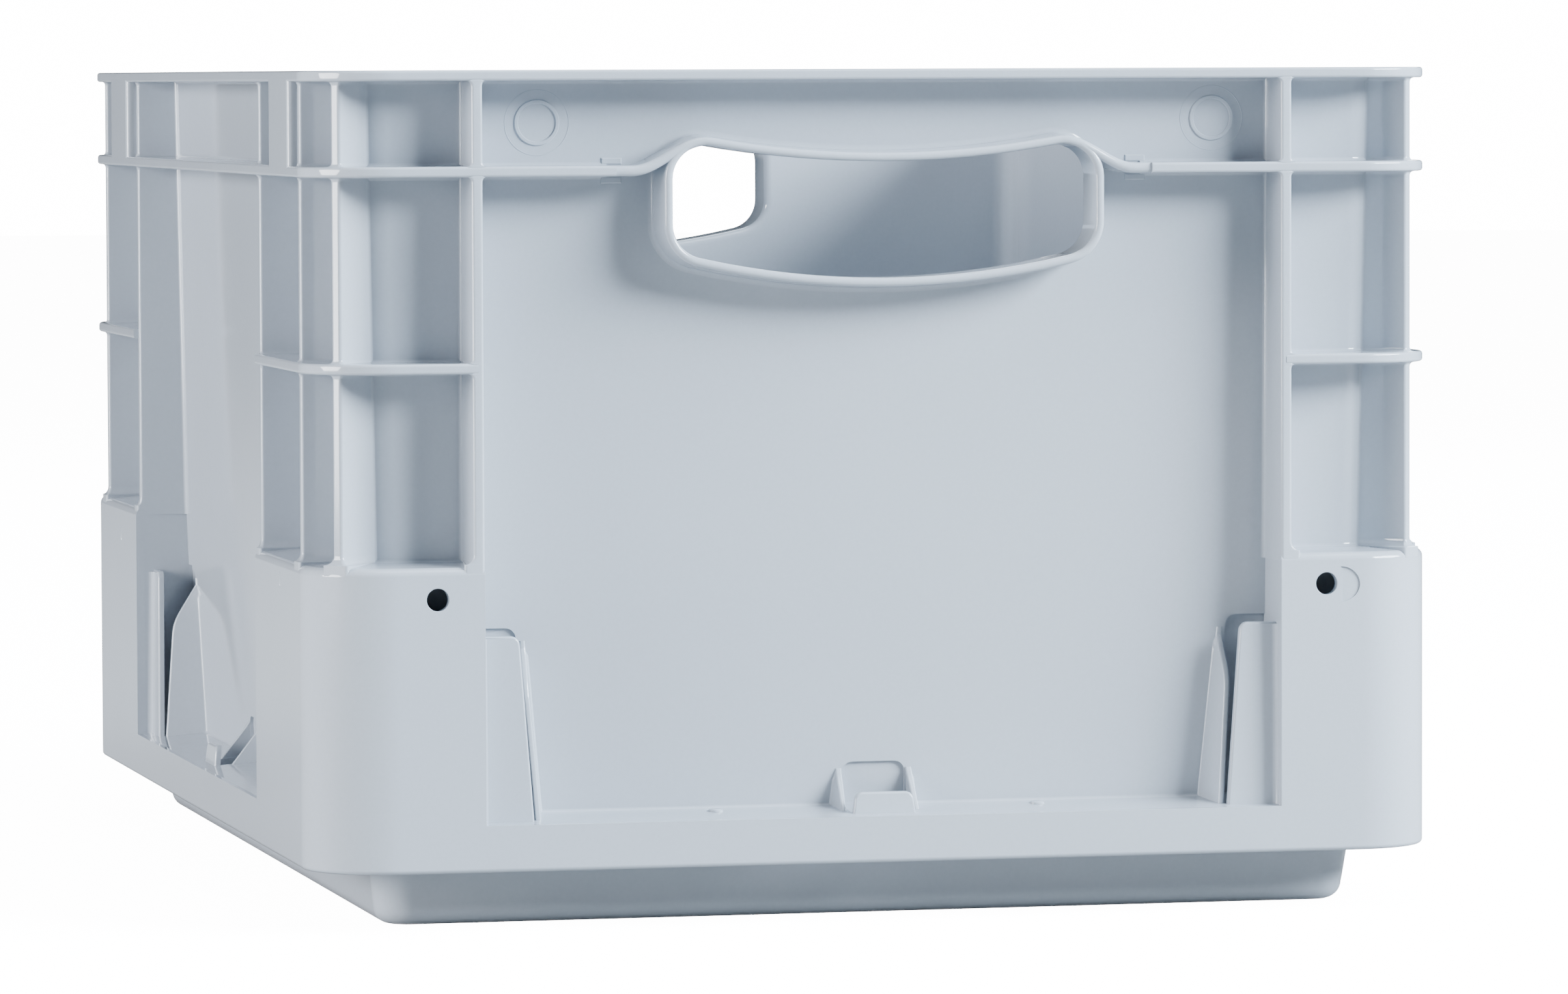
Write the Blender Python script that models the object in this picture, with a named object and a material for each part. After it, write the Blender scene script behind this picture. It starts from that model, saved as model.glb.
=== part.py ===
"""Stacking crate: a thin-walled tub inside a frame of outside ribs and shelves.

The real crate is one moulding. It is built here as its moulded features, each a
closed solid of its own, kept a hair apart where they meet. Origin at the centre
of the base, +Z up, +Y along the length, so the end walls face -Y and +Y.
"""
import math

import bmesh
import bpy
from mathutils import Vector

MM = 0.001
GAP = 0.3 * MM               # clearance between neighbouring features

# Outside envelope
WIDTH = 300 * MM
LENGTH = 400 * MM
HEIGHT = 220 * MM
HALF_X = WIDTH / 2
HALF_Y = LENGTH / 2
CORNER_R = 22 * MM           # plan radius of the envelope
DIAGONAL = math.sqrt(0.5)
SHARP = 0.5                  # radians between faces, past which an edge counts as sharp
SHELF = 2.8 * MM             # thickness of the rim and of the shelves
RIM_UNDER = HEIGHT - SHELF

# Tub: its outer face stands in from the envelope, leans in a little, and more below the knee
TUB_INSET = 12.7 * MM        # at the rim
KNEE_Z = 90 * MM
KNEE_LEAN = 2.2 * MM         # further inset at the knee
BASE_LEAN = 3.9 * MM         # further inset from the knee down to the base
FOOT_DRAFT = 2.4 * MM        # further inset of the stacking foot, from its top to its underside
TUB_R = 9 * MM
WALL = 2.2 * MM
WALL_FOOT = 15.5 * MM        # where the walls start, above the stacking foot
FOOT_TOP = WALL_FOOT - GAP
FLOOR = 2.6 * MM
FOOT_ROUND = 4.5 * MM

# Skirt: corner blocks joined by a low band
SKIRT_BOTTOM = 15.2 * MM
SKIN = 2.5 * MM
BLOCK_TOP = 94.2 * MM
BLOCK_X = 44.3 * MM          # reach along the end wall, from the envelope
BLOCK_Y = 92.5 * MM          # reach along the long wall
BAND_LIP = 26.8 * MM
BAND_TOP = 29 * MM
LIP_ROUND = 2.2 * MM
DRAIN_X = 32 * MM            # small hole in the end face of each block
DRAIN_Z = 85.3 * MM
DRAIN_R = 2.9 * MM

# Outside ribs and shelves
RIB = 2.9 * MM
RIB_INSET = 1.4 * MM         # rib edges stand this far behind the envelope
RIB_A_Y = 27.5 * MM          # long-wall ribs, from the end of the crate
RIB_B_Y = BLOCK_Y - RIB / 2
MAIN_RIB_X = BLOCK_X - RIB / 2
UPPER_SHELF_Z = 192.7 * MM
LOWER_SHELF_Z = 142.6 * MM
FRONT_PLATE = (36.5 * MM, 66.5 * MM)    # plates in the top row of the left wall, from the front end
REAR_PLATE = (321 * MM, 352 * MM)

# Hand grip in each end wall
GRIP_HALF = 56 * MM
GRIP_TOP_MID = 196.2 * MM
GRIP_BOTTOM_MID = 166.2 * MM
GRIP_TOP_BOW = 260 * MM      # radii of the bowed top and bottom edges
GRIP_BOTTOM_BOW = 220 * MM
GRIP_TOP_R = 8.5 * MM
GRIP_BOTTOM_R = 9 * MM
COLLAR = 2.3 * MM            # thickness of the collar's lip
COLLAR_INSET = 0.6 * MM
WING_END = 71 * MM           # half-distance where the collar's wing meets the shelf
WING_BEND = 64 * MM          # where the wing starts to climb
SHELF_BITE = 0.7 * MM        # rounding of the shelves' outer edges

# Label clips
TAB_INSET = 4.6 * MM         # tab face, behind the envelope
TAB = 1.6 * MM
TAB_TOP = 75.3 * MM
TAB_TOP_REACH = 9.8 * MM     # from the face of the block's end wall
TAB_BASE_REACH = 13.4 * MM
WEB = 1.2 * MM
WEB_SHOULDER = 61 * MM
WEB_APEX = 72.5 * MM
CLIP_HALF_TOP = 7.3 * MM
CLIP_HALF_BASE = 8.4 * MM
CLIP_TOP = 33.2 * MM
CLIP_WEB_X = 9.6 * MM
CLIP_WEB_APEX = 37.5 * MM

PLASTIC = (0.56, 0.61, 0.67, 1.0)


# ---------------------------------------------------------------- helpers

def clear_scene():
    for obj in list(bpy.data.objects):
        bpy.data.objects.remove(obj, do_unlink=True)


def new_collection(name):
    group = bpy.data.collections.new(name)
    bpy.context.scene.collection.children.link(group)
    return group


def plastic(name):
    material = bpy.data.materials.new(name)
    material.use_nodes = True
    shader = material.node_tree.nodes["Principled BSDF"]
    shader.inputs["Base Color"].default_value = PLASTIC
    shader.inputs["Roughness"].default_value = 0.38
    shader.inputs["Metallic"].default_value = 0.0
    material.diffuse_color = PLASTIC
    return material


def arc(cx, cy, radius, start, end, steps=5):
    """Points along an arc, angles in degrees."""
    points = []
    for i in range(steps + 1):
        angle = math.radians(start + (end - start) * i / steps)
        points.append((cx + radius * math.cos(angle), cy + radius * math.sin(angle)))
    return points


def rounded_rectangle(inset, radius, steps=5):
    """Plan outline, a given distance inside the envelope."""
    x = HALF_X - inset - radius
    y = HALF_Y - inset - radius
    points = arc(x, y, radius, 0, 90, steps)
    points += arc(-x, y, radius, 90, 180, steps)
    points += arc(-x, -y, radius, 180, 270, steps)
    points += arc(x, -y, radius, 270, 360, steps)
    return points


def mesh_object(name, mesh):
    obj = bpy.data.objects.new(name, mesh)
    WORK.objects.link(obj)
    return obj


def extrusion(name, outlines, depth):
    """A closed solid from flat outlines: the first is the edge, the rest are holes."""
    curve = bpy.data.curves.new(name, "CURVE")
    curve.dimensions = "2D"
    curve.fill_mode = "BOTH"
    curve.extrude = depth / 2
    for outline in outlines:
        spline = curve.splines.new("POLY")
        spline.points.add(len(outline) - 1)
        for point, (x, y) in zip(spline.points, outline):
            point.co = (x, y, 0, 1)
        spline.use_cyclic_u = True
    flat = mesh_object(name, curve)
    mesh = bpy.data.meshes.new_from_object(flat.evaluated_get(bpy.context.evaluated_depsgraph_get()))
    bpy.data.objects.remove(flat, do_unlink=True)
    bm = bmesh.new()
    bm.from_mesh(mesh)
    bmesh.ops.remove_doubles(bm, verts=bm.verts, dist=1e-6)
    bmesh.ops.recalc_face_normals(bm, faces=bm.faces)
    bm.to_mesh(mesh)
    bm.free()
    return mesh_object(name, mesh)


def face_outward(bm):
    """Turns a closed mesh the right way out."""
    if bm.calc_volume(signed=True) < 0:
        bmesh.ops.reverse_faces(bm, faces=bm.faces)


def move_points(obj, rule):
    """Rewrites every point of a mesh by a rule, then sets its faces outward again."""
    bm = bmesh.new()
    bm.from_mesh(obj.data)
    for vert in bm.verts:
        vert.co = Vector(rule(vert.co))
    face_outward(bm)
    bm.to_mesh(obj.data)
    bm.free()
    return obj


def upright(name, outlines, z0, z1):
    """Plan outlines extruded from z0 to z1."""
    obj = extrusion(name, outlines, z1 - z0)
    return move_points(obj, lambda p: (p.x, p.y, p.z + (z0 + z1) / 2))


def across_x(name, outlines, x0, x1):
    """Outlines given as (y, z), extruded from x0 to x1."""
    obj = extrusion(name, outlines, x1 - x0)
    return move_points(obj, lambda p: (p.z + (x0 + x1) / 2, p.x, p.y))


def across_y(name, outlines, y0, y1):
    """Outlines given as (x, z), extruded from y0 to y1."""
    obj = extrusion(name, outlines, y1 - y0)
    return move_points(obj, lambda p: (p.x, p.z + (y0 + y1) / 2, p.y))


def cylinder(name, radius, length, centre, steps=16):
    """A cylinder along Y."""
    bm = bmesh.new()
    bmesh.ops.create_cone(bm, cap_ends=True, segments=steps, radius1=radius, radius2=radius, depth=length)
    mesh = bpy.data.meshes.new(name)
    bm.to_mesh(mesh)
    bm.free()
    obj = mesh_object(name, mesh)
    cx, cy, cz = centre
    return move_points(obj, lambda p: (cx + p.x, cy + p.z, cz + p.y))


def boolean(target, other, operation):
    """Joins or cuts with another solid, which is used up."""
    modifier = target.modifiers.new(operation.title(), "BOOLEAN")
    modifier.operation = operation
    modifier.solver = "EXACT"
    modifier.object = other
    mesh = bpy.data.meshes.new_from_object(target.evaluated_get(bpy.context.evaluated_depsgraph_get()))
    target.modifiers.remove(modifier)
    target.data = mesh
    bpy.data.objects.remove(other, do_unlink=True)
    return target


def round_edges(obj, width, segments, chosen):
    """Bevels the edges whose two end points pass a test."""
    bm = bmesh.new()
    bm.from_mesh(obj.data)
    bmesh.ops.dissolve_limit(bm, angle_limit=math.radians(1), verts=bm.verts, edges=bm.edges)
    sharp = [e for e in bm.edges if e.calc_face_angle(0) > SHARP]
    edges = [e for e in sharp if chosen(e.verts[0].co) and chosen(e.verts[1].co)]
    bmesh.ops.bevel(bm, geom=edges, offset=width, segments=segments, profile=0.5, affect="EDGES")
    bm.to_mesh(obj.data)
    bm.free()
    return obj


def lean_at(z):
    """How much further in the tub's outer face stands at a height than at the rim."""
    if z > KNEE_Z:
        return KNEE_LEAN * (HEIGHT - z) / (HEIGHT - KNEE_Z)
    return KNEE_LEAN + BASE_LEAN * (KNEE_Z - z) / KNEE_Z


def inset_at(z):
    """How far the tub's outer face stands inside the envelope at a height."""
    return TUB_INSET + lean_at(z)


def knee_row(obj):
    """Adds a row of points at the height where the lean changes."""
    bm = bmesh.new()
    bm.from_mesh(obj.data)
    geometry = bm.verts[:] + bm.edges[:] + bm.faces[:]
    bmesh.ops.bisect_plane(bm, geom=geometry, plane_co=(0, 0, KNEE_Z), plane_no=(0, 0, 1))
    bm.to_mesh(obj.data)
    bm.free()
    return obj


def lean_inner(obj):
    """Leans the points near the tub with its wall; points on the envelope stay."""
    def rule(p):
        if near_envelope(p, 2 * MM):
            return p
        shift = lean_at(p.z)
        x = p.x
        y = p.y
        if abs(p.x) > HALF_X - 30 * MM:
            x -= math.copysign(shift, p.x)
        if abs(p.y) > HALF_Y - 30 * MM:
            y -= math.copysign(shift, p.y)
        return (x, y, p.z)
    return move_points(obj, rule)


# ---------------------------------------------------------------- placing

def finish(obj, name, group):
    """Names a feature and gives it its own material."""
    obj.name = name
    obj.data.name = name
    obj.data.materials.clear()
    obj.data.materials.append(plastic("plastic_" + name))
    WORK.objects.unlink(obj)
    group.objects.link(obj)
    return obj


def copies(obj, names, group):
    """Repeats a feature of the front left quarter in other quarters by reflection."""
    source = obj.data
    for name, sx, sy in names:
        twin = mesh_object(name, source.copy())
        move_points(twin, lambda p: (p.x * sx, p.y * sy, p.z))
        finish(twin, name, group)
    bpy.data.objects.remove(obj, do_unlink=True)


def four(stem):
    """The four corners, as name, x sign and y sign."""
    return [("front_left_" + stem, 1, 1), ("front_right_" + stem, -1, 1),
            ("rear_left_" + stem, 1, -1), ("rear_right_" + stem, -1, -1)]


def ends(stem):
    return [("front_" + stem, 1, 1), ("rear_" + stem, 1, -1)]


def sides(stem):
    return [("left_" + stem, 1, 1), ("right_" + stem, -1, 1)]


def turned(name, opposite):
    """A feature and its copy half a turn round the crate."""
    return [(name, 1, 1), (opposite, -1, -1)]


# ---------------------------------------------------------------- the tub

def floor_tray():
    """Floor and stacking foot: a shallow tray with a rounded bottom edge."""
    foot_inset = inset_at(FOOT_TOP)
    tray = upright("tray", [rounded_rectangle(foot_inset, TUB_R)], 0, FOOT_TOP)
    round_edges(tray, FOOT_ROUND, 3, lambda p: p.z < GAP)
    inside = upright("inside", [rounded_rectangle(foot_inset + WALL, TUB_R - WALL)], FLOOR, FOOT_TOP + FLOOR)
    tray = boolean(tray, inside, "DIFFERENCE")

    def draft(p):
        shift = FOOT_DRAFT * (1 - p.z / FOOT_TOP)
        return (p.x * (1 - shift / HALF_X), p.y * (1 - shift / HALF_Y), p.z)
    return move_points(tray, draft)


def corner_wall():
    """Curved wall of one tub corner, leaning in like its neighbours."""
    cx = -HALF_X + TUB_INSET + TUB_R
    cy = -HALF_Y + TUB_INSET + TUB_R
    outline = arc(cx, cy, TUB_R, 180, 270) + arc(cx, cy, TUB_R - WALL, 270, 180)
    return lean_inner(knee_row(upright("corner", [outline], WALL_FOOT, RIM_UNDER - GAP)))


def flat_wall(half, face, name):
    """Flat tub wall: half its length, and the half extent it stands inside."""
    outer = -face + TUB_INSET
    outline = [(-half, outer), (half, outer), (half, outer + WALL), (-half, outer + WALL)]
    if name == "long":
        outline = [(y, x) for x, y in outline]
    return lean_inner(knee_row(upright(name, [outline], WALL_FOOT, RIM_UNDER - GAP)))


def grip_outline(grow=0.0):
    """Hand grip as (x, z): bowed top and bottom edges with rounded corners, enlarged by grow."""
    top_centre = GRIP_TOP_MID + GRIP_TOP_BOW
    bottom_centre = GRIP_BOTTOM_MID + GRIP_BOTTOM_BOW
    tx = GRIP_HALF - GRIP_TOP_R
    tz = top_centre - math.sqrt((GRIP_TOP_BOW + GRIP_TOP_R) ** 2 - tx ** 2)
    bx = GRIP_HALF - GRIP_BOTTOM_R
    bz = bottom_centre - math.sqrt((GRIP_BOTTOM_BOW - GRIP_BOTTOM_R) ** 2 - bx ** 2)
    rise = math.degrees(math.asin(tx / (GRIP_TOP_BOW + GRIP_TOP_R)))
    drop = math.degrees(math.asin(bx / (GRIP_BOTTOM_BOW - GRIP_BOTTOM_R)))
    points = arc(tx, tz, GRIP_TOP_R + grow, 0, 90 + rise, 6)
    points += arc(0, top_centre, GRIP_TOP_BOW - grow, 270 + rise, 270 - rise, 8)[1:-1]
    points += arc(-tx, tz, GRIP_TOP_R + grow, 90 - rise, 180, 6)
    points += arc(-bx, bz, GRIP_BOTTOM_R + grow, 180, 270 - drop, 6)
    points += arc(0, bottom_centre, GRIP_BOTTOM_BOW + grow, 270 - drop, 270 + drop, 8)[1:-1]
    points += arc(bx, bz, GRIP_BOTTOM_R + grow, 270 + drop, 360, 6)
    return points


def end_wall():
    """End wall of the tub, with the hand grip through it."""
    wall = flat_wall(HALF_X - TUB_INSET - TUB_R - GAP, HALF_Y, "end")
    opening = across_y("opening", [grip_outline()], -HALF_Y, -HALF_Y + 40 * MM)
    return boolean(wall, opening, "DIFFERENCE")


def long_wall():
    return flat_wall(HALF_Y - TUB_INSET - TUB_R - GAP, HALF_X, "long")


# ---------------------------------------------------------------- rim, shelves and collars

def top_rim():
    outer = rounded_rectangle(0, CORNER_R, 7)
    inner = rounded_rectangle(TUB_INSET + WALL, TUB_R - WALL, 7)
    rim = upright("rim", [outer, inner], RIM_UNDER, HEIGHT)
    return round_edges(rim, SHELF_BITE, 1, lambda p: near_envelope(p, GAP))


def near_envelope(p, margin):
    """True for a point on the plan outline of the envelope."""
    x = abs(p.x)
    y = abs(p.y)
    if x > HALF_X - CORNER_R and y > HALF_Y - CORNER_R:
        reach = math.hypot(x - HALF_X + CORNER_R, y - HALF_Y + CORNER_R)
        return reach > CORNER_R - margin
    return x > HALF_X - margin or y > HALF_Y - margin


def corner_path(inset, radius):
    """Quarter of a plan outline round the front left corner, from the end wall to the long wall."""
    cx = -HALF_X + inset + radius
    cy = -HALF_Y + inset + radius
    return arc(cx, cy, radius, 270, 180)


def box(name, x_range, y_range, z_range):
    """A rectangular block between three pairs of limits."""
    (x0, x1), (y0, y1) = x_range, y_range
    return upright(name, [[(x0, y0), (x1, y0), (x1, y1), (x0, y1)]], *z_range)


def rib_slots(z_range):
    """Cutters that leave room in a shelf for the corner rib and for the first long-wall rib."""
    y = -HALF_Y + RIB_A_Y
    half = RIB / 2 + GAP
    slot = box("slot", (-HALF_X + RIB_INSET - GAP, 0), (y - half, y + half), z_range)
    return boolean(slot, diagonal_slot(*z_range), "UNION")


def recess_slots(z_range):
    """Cutters for the two ribs that bound the recesses, on the end wall and on the long wall."""
    half = RIB / 2 + GAP
    x = -HALF_X + MAIN_RIB_X
    y = -HALF_Y + RIB_B_Y
    end = box("slot", (x - half, x + half), (-HALF_Y + RIB_INSET - GAP, -HALF_Y / 2), z_range)
    long = box("slot", (-HALF_X + RIB_INSET - GAP, -HALF_X / 2), (y - half, y + half), z_range)
    return boolean(end, long, "UNION")


def lower_shelf():
    """Shelf round one corner, between the main rib and the long-wall rib."""
    top = LOWER_SHELF_Z + SHELF
    x_end = -HALF_X + BLOCK_X - RIB - GAP
    y_end = -HALF_Y + BLOCK_Y - RIB - GAP
    inset = TUB_INSET - GAP
    outline = [(x_end, -HALF_Y)] + corner_path(0, CORNER_R) + [(-HALF_X, y_end)]
    outline += [(-HALF_X + inset, y_end)] + corner_path(inset, TUB_R + GAP)[::-1]
    outline += [(x_end, -HALF_Y + inset)]
    shelf = lean_inner(upright("shelf", [outline], LOWER_SHELF_Z, top))
    return boolean(shelf, rib_slots((LOWER_SHELF_Z - SHELF, top + SHELF)), "DIFFERENCE")


def upper_shelf():
    """Shelf round the left side, from one end wall's collar to the other's, slotted for the ribs."""
    z0 = UPPER_SHELF_Z
    z1 = z0 + SHELF
    x_end = -WING_END - GAP
    inset = TUB_INSET - GAP
    front = [(x_end, -HALF_Y)] + corner_path(0, CORNER_R)
    back = [(x_end, -HALF_Y + inset)] + corner_path(inset, TUB_R + GAP)
    outline = front + [(x, -y) for x, y in front[::-1]] + [(x, -y) for x, y in back] + back[::-1]
    shelf = lean_inner(upright("shelf", [outline], z0, z1))
    for end in (1, -1):
        for slots in (rib_slots, recess_slots):
            cutter = slots((z0 - SHELF, z1 + SHELF))
            move_points(cutter, lambda p: (p.x, p.y * end, p.z))
            shelf = boolean(shelf, cutter, "DIFFERENCE")
    return shelf


def wing(sign):
    """Strip that carries the shelf up in an S-curve to the top corner of the collar."""
    low = UPPER_SHELF_Z + SHELF / 2
    peak_x = GRIP_HALF - GRIP_TOP_R
    peak_z = max(z for _, z in grip_outline(COLLAR)) - COLLAR / 2
    steps = 8
    upper = [(-WING_END, low + SHELF / 2)]
    lower = [(-WING_END, low - SHELF / 2)]
    for i in range(steps + 1):
        t = i / steps
        x = -WING_BEND + (WING_BEND - peak_x) * t
        z = low + (peak_z - low) * (3 - 2 * t) * t * t
        half = (SHELF + (COLLAR - SHELF) * t) / 2
        upper.append((x, z + half))
        lower.append((x, z - half))
    outline = [(sign * x, z) for x, z in upper + lower[::-1]]
    return across_y("wing", [outline], -HALF_Y + COLLAR_INSET, -HALF_Y + TUB_INSET - GAP)


def grip_collar():
    """Collar round the hand grip, with a wing on each side that meets the shelf."""
    ring = across_y("ring", [grip_outline(COLLAR), grip_outline()], -HALF_Y + COLLAR_INSET,
                    -HALF_Y + TUB_INSET - GAP)
    for sign in (1, -1):
        ring = boolean(ring, wing(sign), "UNION")
    opening = across_y("opening", [grip_outline()], -HALF_Y - COLLAR, -HALF_Y + 40 * MM)
    ring = boolean(ring, opening, "DIFFERENCE")
    return move_points(ring, lambda p: (p.x, p.y + lean_back(p), p.z))


def lean_back(p):
    """Leans only the points at the tub's face."""
    if p.y < -HALF_Y + TUB_INSET - 2 * GAP:
        return 0.0
    return lean_at(p.z)


# ---------------------------------------------------------------- ribs

def rib_outline(z0, z1):
    """Rib seen from its side as (inset, z): a straight outer edge and an edge along the wall."""
    return [(RIB_INSET, z0), (RIB_INSET, z1), (inset_at(z1) - GAP, z1), (inset_at(z0) - GAP, z0)]


def end_rib():
    """Main rib on the end wall, from the corner block to the rim."""
    outline = [(-HALF_Y + inset, z) for inset, z in rib_outline(BLOCK_TOP + GAP, RIM_UNDER - GAP)]
    x = -HALF_X + MAIN_RIB_X
    return across_x("rib", [outline], x - RIB / 2, x + RIB / 2)


def long_wall_rib(distance):
    """Rib on the long wall, a distance from the end of the crate."""
    outline = [(-HALF_X + inset, z) for inset, z in rib_outline(BLOCK_TOP + GAP, RIM_UNDER - GAP)]
    y = -HALF_Y + distance
    return across_y("rib", [outline], y - RIB / 2, y + RIB / 2)


def diagonal_bar(near, far, half, z0, z1):
    """Upright bar along the corner's diagonal, between two distances from the envelope's corner centre."""
    cx = -HALF_X + CORNER_R
    cy = -HALF_Y + CORNER_R

    def place(along, aside):
        return (cx - (along + aside) * DIAGONAL, cy - (along - aside) * DIAGONAL)
    outline = [place(near, -half), place(near, half), place(far, half), place(far, -half)]
    return upright("bar", [outline], z0, z1)


def diagonal_slot(z0, z1):
    """Cutter that leaves room for the diagonal rib, open towards the tub."""
    return diagonal_bar(0, CORNER_R - RIB_INSET + GAP, RIB / 2 + GAP, z0, z1)


def diagonal_rib():
    """Rib across the corner at 45 degrees, from the tub's corner to the envelope's."""
    centres_apart = (TUB_INSET + TUB_R - CORNER_R) / DIAGONAL
    near = TUB_R + GAP - centres_apart
    far = CORNER_R - RIB_INSET
    rib = diagonal_bar(near, far, RIB / 2, BLOCK_TOP + GAP, RIM_UNDER - GAP)
    halfway = 2 * (HALF_X - CORNER_R + (near + far) / 2 * DIAGONAL) + HALF_Y - HALF_X

    def lean(p):
        shift = 0.0
        if abs(p.x) + abs(p.y) < halfway:
            shift = lean_at(p.z)
        return (p.x + shift, p.y + shift, p.z)
    return move_points(rib, lean)


def top_row_plate(span):
    """Plate across the top row of the left wall, flush with the shelves' edges."""
    z0 = UPPER_SHELF_Z + SHELF + GAP
    z1 = RIM_UNDER - GAP
    return box("plate", (-HALF_X, -HALF_X + SKIN), (span[0] - HALF_Y, span[1] - HALF_Y), (z0, z1))


# ---------------------------------------------------------------- skirt

def corner_block():
    """Tall corner of the skirt: a skin with a top and two end walls, open below and towards the tub."""
    x_end = -HALF_X + BLOCK_X
    y_end = -HALF_Y + BLOCK_Y
    inset = TUB_INSET - GAP
    outline = [(x_end, -HALF_Y)] + corner_path(0, CORNER_R) + [(-HALF_X, y_end)]
    outline += [(-HALF_X + inset, y_end)] + corner_path(inset, TUB_R + GAP)[::-1]
    outline += [(x_end, -HALF_Y + inset)]
    block = lean_inner(knee_row(upright("block", [outline], SKIRT_BOTTOM, BLOCK_TOP)))
    block = round_edges(block, LIP_ROUND, 2,
                        lambda p: p.z > BLOCK_TOP - GAP and near_envelope(p, GAP))
    x_in = x_end - RIB
    y_in = y_end - RIB
    deep = 40 * MM
    hollow = [(x_in, -HALF_Y + SKIN)] + corner_path(SKIN, CORNER_R - SKIN) + [(-HALF_X + SKIN, y_in)]
    hollow += [(-HALF_X + deep, y_in), (-HALF_X + deep, -HALF_Y + deep), (x_in, -HALF_Y + deep)]
    cutter = upright("hollow", [hollow], 0, BLOCK_TOP - SKIN)
    block = boolean(block, cutter, "DIFFERENCE")
    drain = cylinder("drain", DRAIN_R, 4 * SKIN, (-HALF_X + DRAIN_X, -HALF_Y, DRAIN_Z))
    return boolean(block, drain, "DIFFERENCE")


def band_outline():
    """Section of the low band as (inset, z): an outer skin and a ledge that rises to the tub."""
    wall = inset_at(BAND_TOP) - GAP
    return [(0, SKIRT_BOTTOM), (0, BAND_LIP - LIP_ROUND), (LIP_ROUND * 0.3, BAND_LIP - LIP_ROUND * 0.3),
            (LIP_ROUND, BAND_LIP), (wall, BAND_TOP), (wall, BAND_TOP - SKIN), (SKIN, BAND_LIP - SKIN),
            (SKIN, SKIRT_BOTTOM)]


def end_band():
    half = HALF_X - BLOCK_X - GAP
    return across_x("band", [[(-HALF_Y + inset, z) for inset, z in band_outline()]], -half, half)


def long_band():
    half = HALF_Y - BLOCK_Y - GAP
    return across_y("band", [[(-HALF_X + inset, z) for inset, z in band_outline()]], -half, half)


# ---------------------------------------------------------------- label clips

def side_clip():
    """Tab that stands off the wall beside the block, with the web that backs it. Built at x = 0."""
    foot = BAND_TOP + GAP
    outline = [(0, foot), (TAB_BASE_REACH, foot), (TAB_TOP_REACH, TAB_TOP - 3 * MM)]
    outline += arc(TAB_TOP_REACH - 3 * MM, TAB_TOP - 3 * MM, 3 * MM, 20, 90, 3)
    outline += [(0, TAB_TOP)]
    tab = across_y("tab", [outline], TAB_INSET, TAB_INSET + TAB)
    wall_low = inset_at(foot) - GAP
    wall_high = inset_at(WEB_APEX) - GAP
    web_side = [(TAB_INSET, foot), (TAB_INSET, WEB_SHOULDER), (wall_high, WEB_APEX), (wall_low, foot)]
    web = across_x("web", [web_side], 0, WEB)
    lean = (TAB_BASE_REACH - TAB_TOP_REACH) / (TAB_TOP - foot)
    move_points(web, lambda p: (p.x + TAB_BASE_REACH + GAP - lean * (p.z - foot), p.y, p.z))
    joint = across_y("joint", [[(0, foot), (TAB_BASE_REACH + WEB, foot), (TAB_BASE_REACH + WEB, foot + WEB),
                                (0, foot + WEB)]], TAB_INSET + TAB / 2, wall_low - GAP)
    tab = boolean(tab, web, "UNION")
    return boolean(tab, joint, "UNION")


def centre_clip():
    """Low tab at the middle of a wall between two triangular webs. Built at x = 0."""
    foot = BAND_TOP + GAP
    outline = [(-CLIP_HALF_BASE, foot), (CLIP_HALF_BASE, foot), (CLIP_HALF_TOP, CLIP_TOP - 2 * MM)]
    outline += [(CLIP_HALF_TOP - 2 * MM, CLIP_TOP), (-CLIP_HALF_TOP + 2 * MM, CLIP_TOP)]
    outline += [(-CLIP_HALF_TOP, CLIP_TOP - 2 * MM)]
    clip = across_y("clip", [outline], TAB_INSET, TAB_INSET + TAB)
    wall_low = inset_at(foot) - GAP
    wall_high = inset_at(CLIP_WEB_APEX) - GAP
    for sign in (1, -1):
        side = [(TAB_INSET, foot), (wall_high, CLIP_WEB_APEX), (wall_low, foot)]
        inner = sign * CLIP_WEB_X
        outer = sign * (CLIP_WEB_X + WEB)
        clip = boolean(clip, across_x("web", [side], min(inner, outer), max(inner, outer)), "UNION")
    reach = CLIP_WEB_X + WEB
    joint = across_y("joint", [[(-reach, foot), (reach, foot), (reach, foot + WEB), (-reach, foot + WEB)]],
                     TAB_INSET + TAB / 2, wall_low - GAP)
    return boolean(clip, joint, "UNION")


def on_end_wall(obj, x):
    """Stands a clip on the front end wall, with its x = 0 face at x."""
    return move_points(obj, lambda p: (p.x + x, p.y - HALF_Y, p.z))


def on_long_wall(obj, y):
    """Stands a clip on the left long wall, with its x = 0 face at y."""
    return move_points(obj, lambda p: (p.y - HALF_X, p.x + y, p.z))


# ---------------------------------------------------------------- the crate

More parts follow.
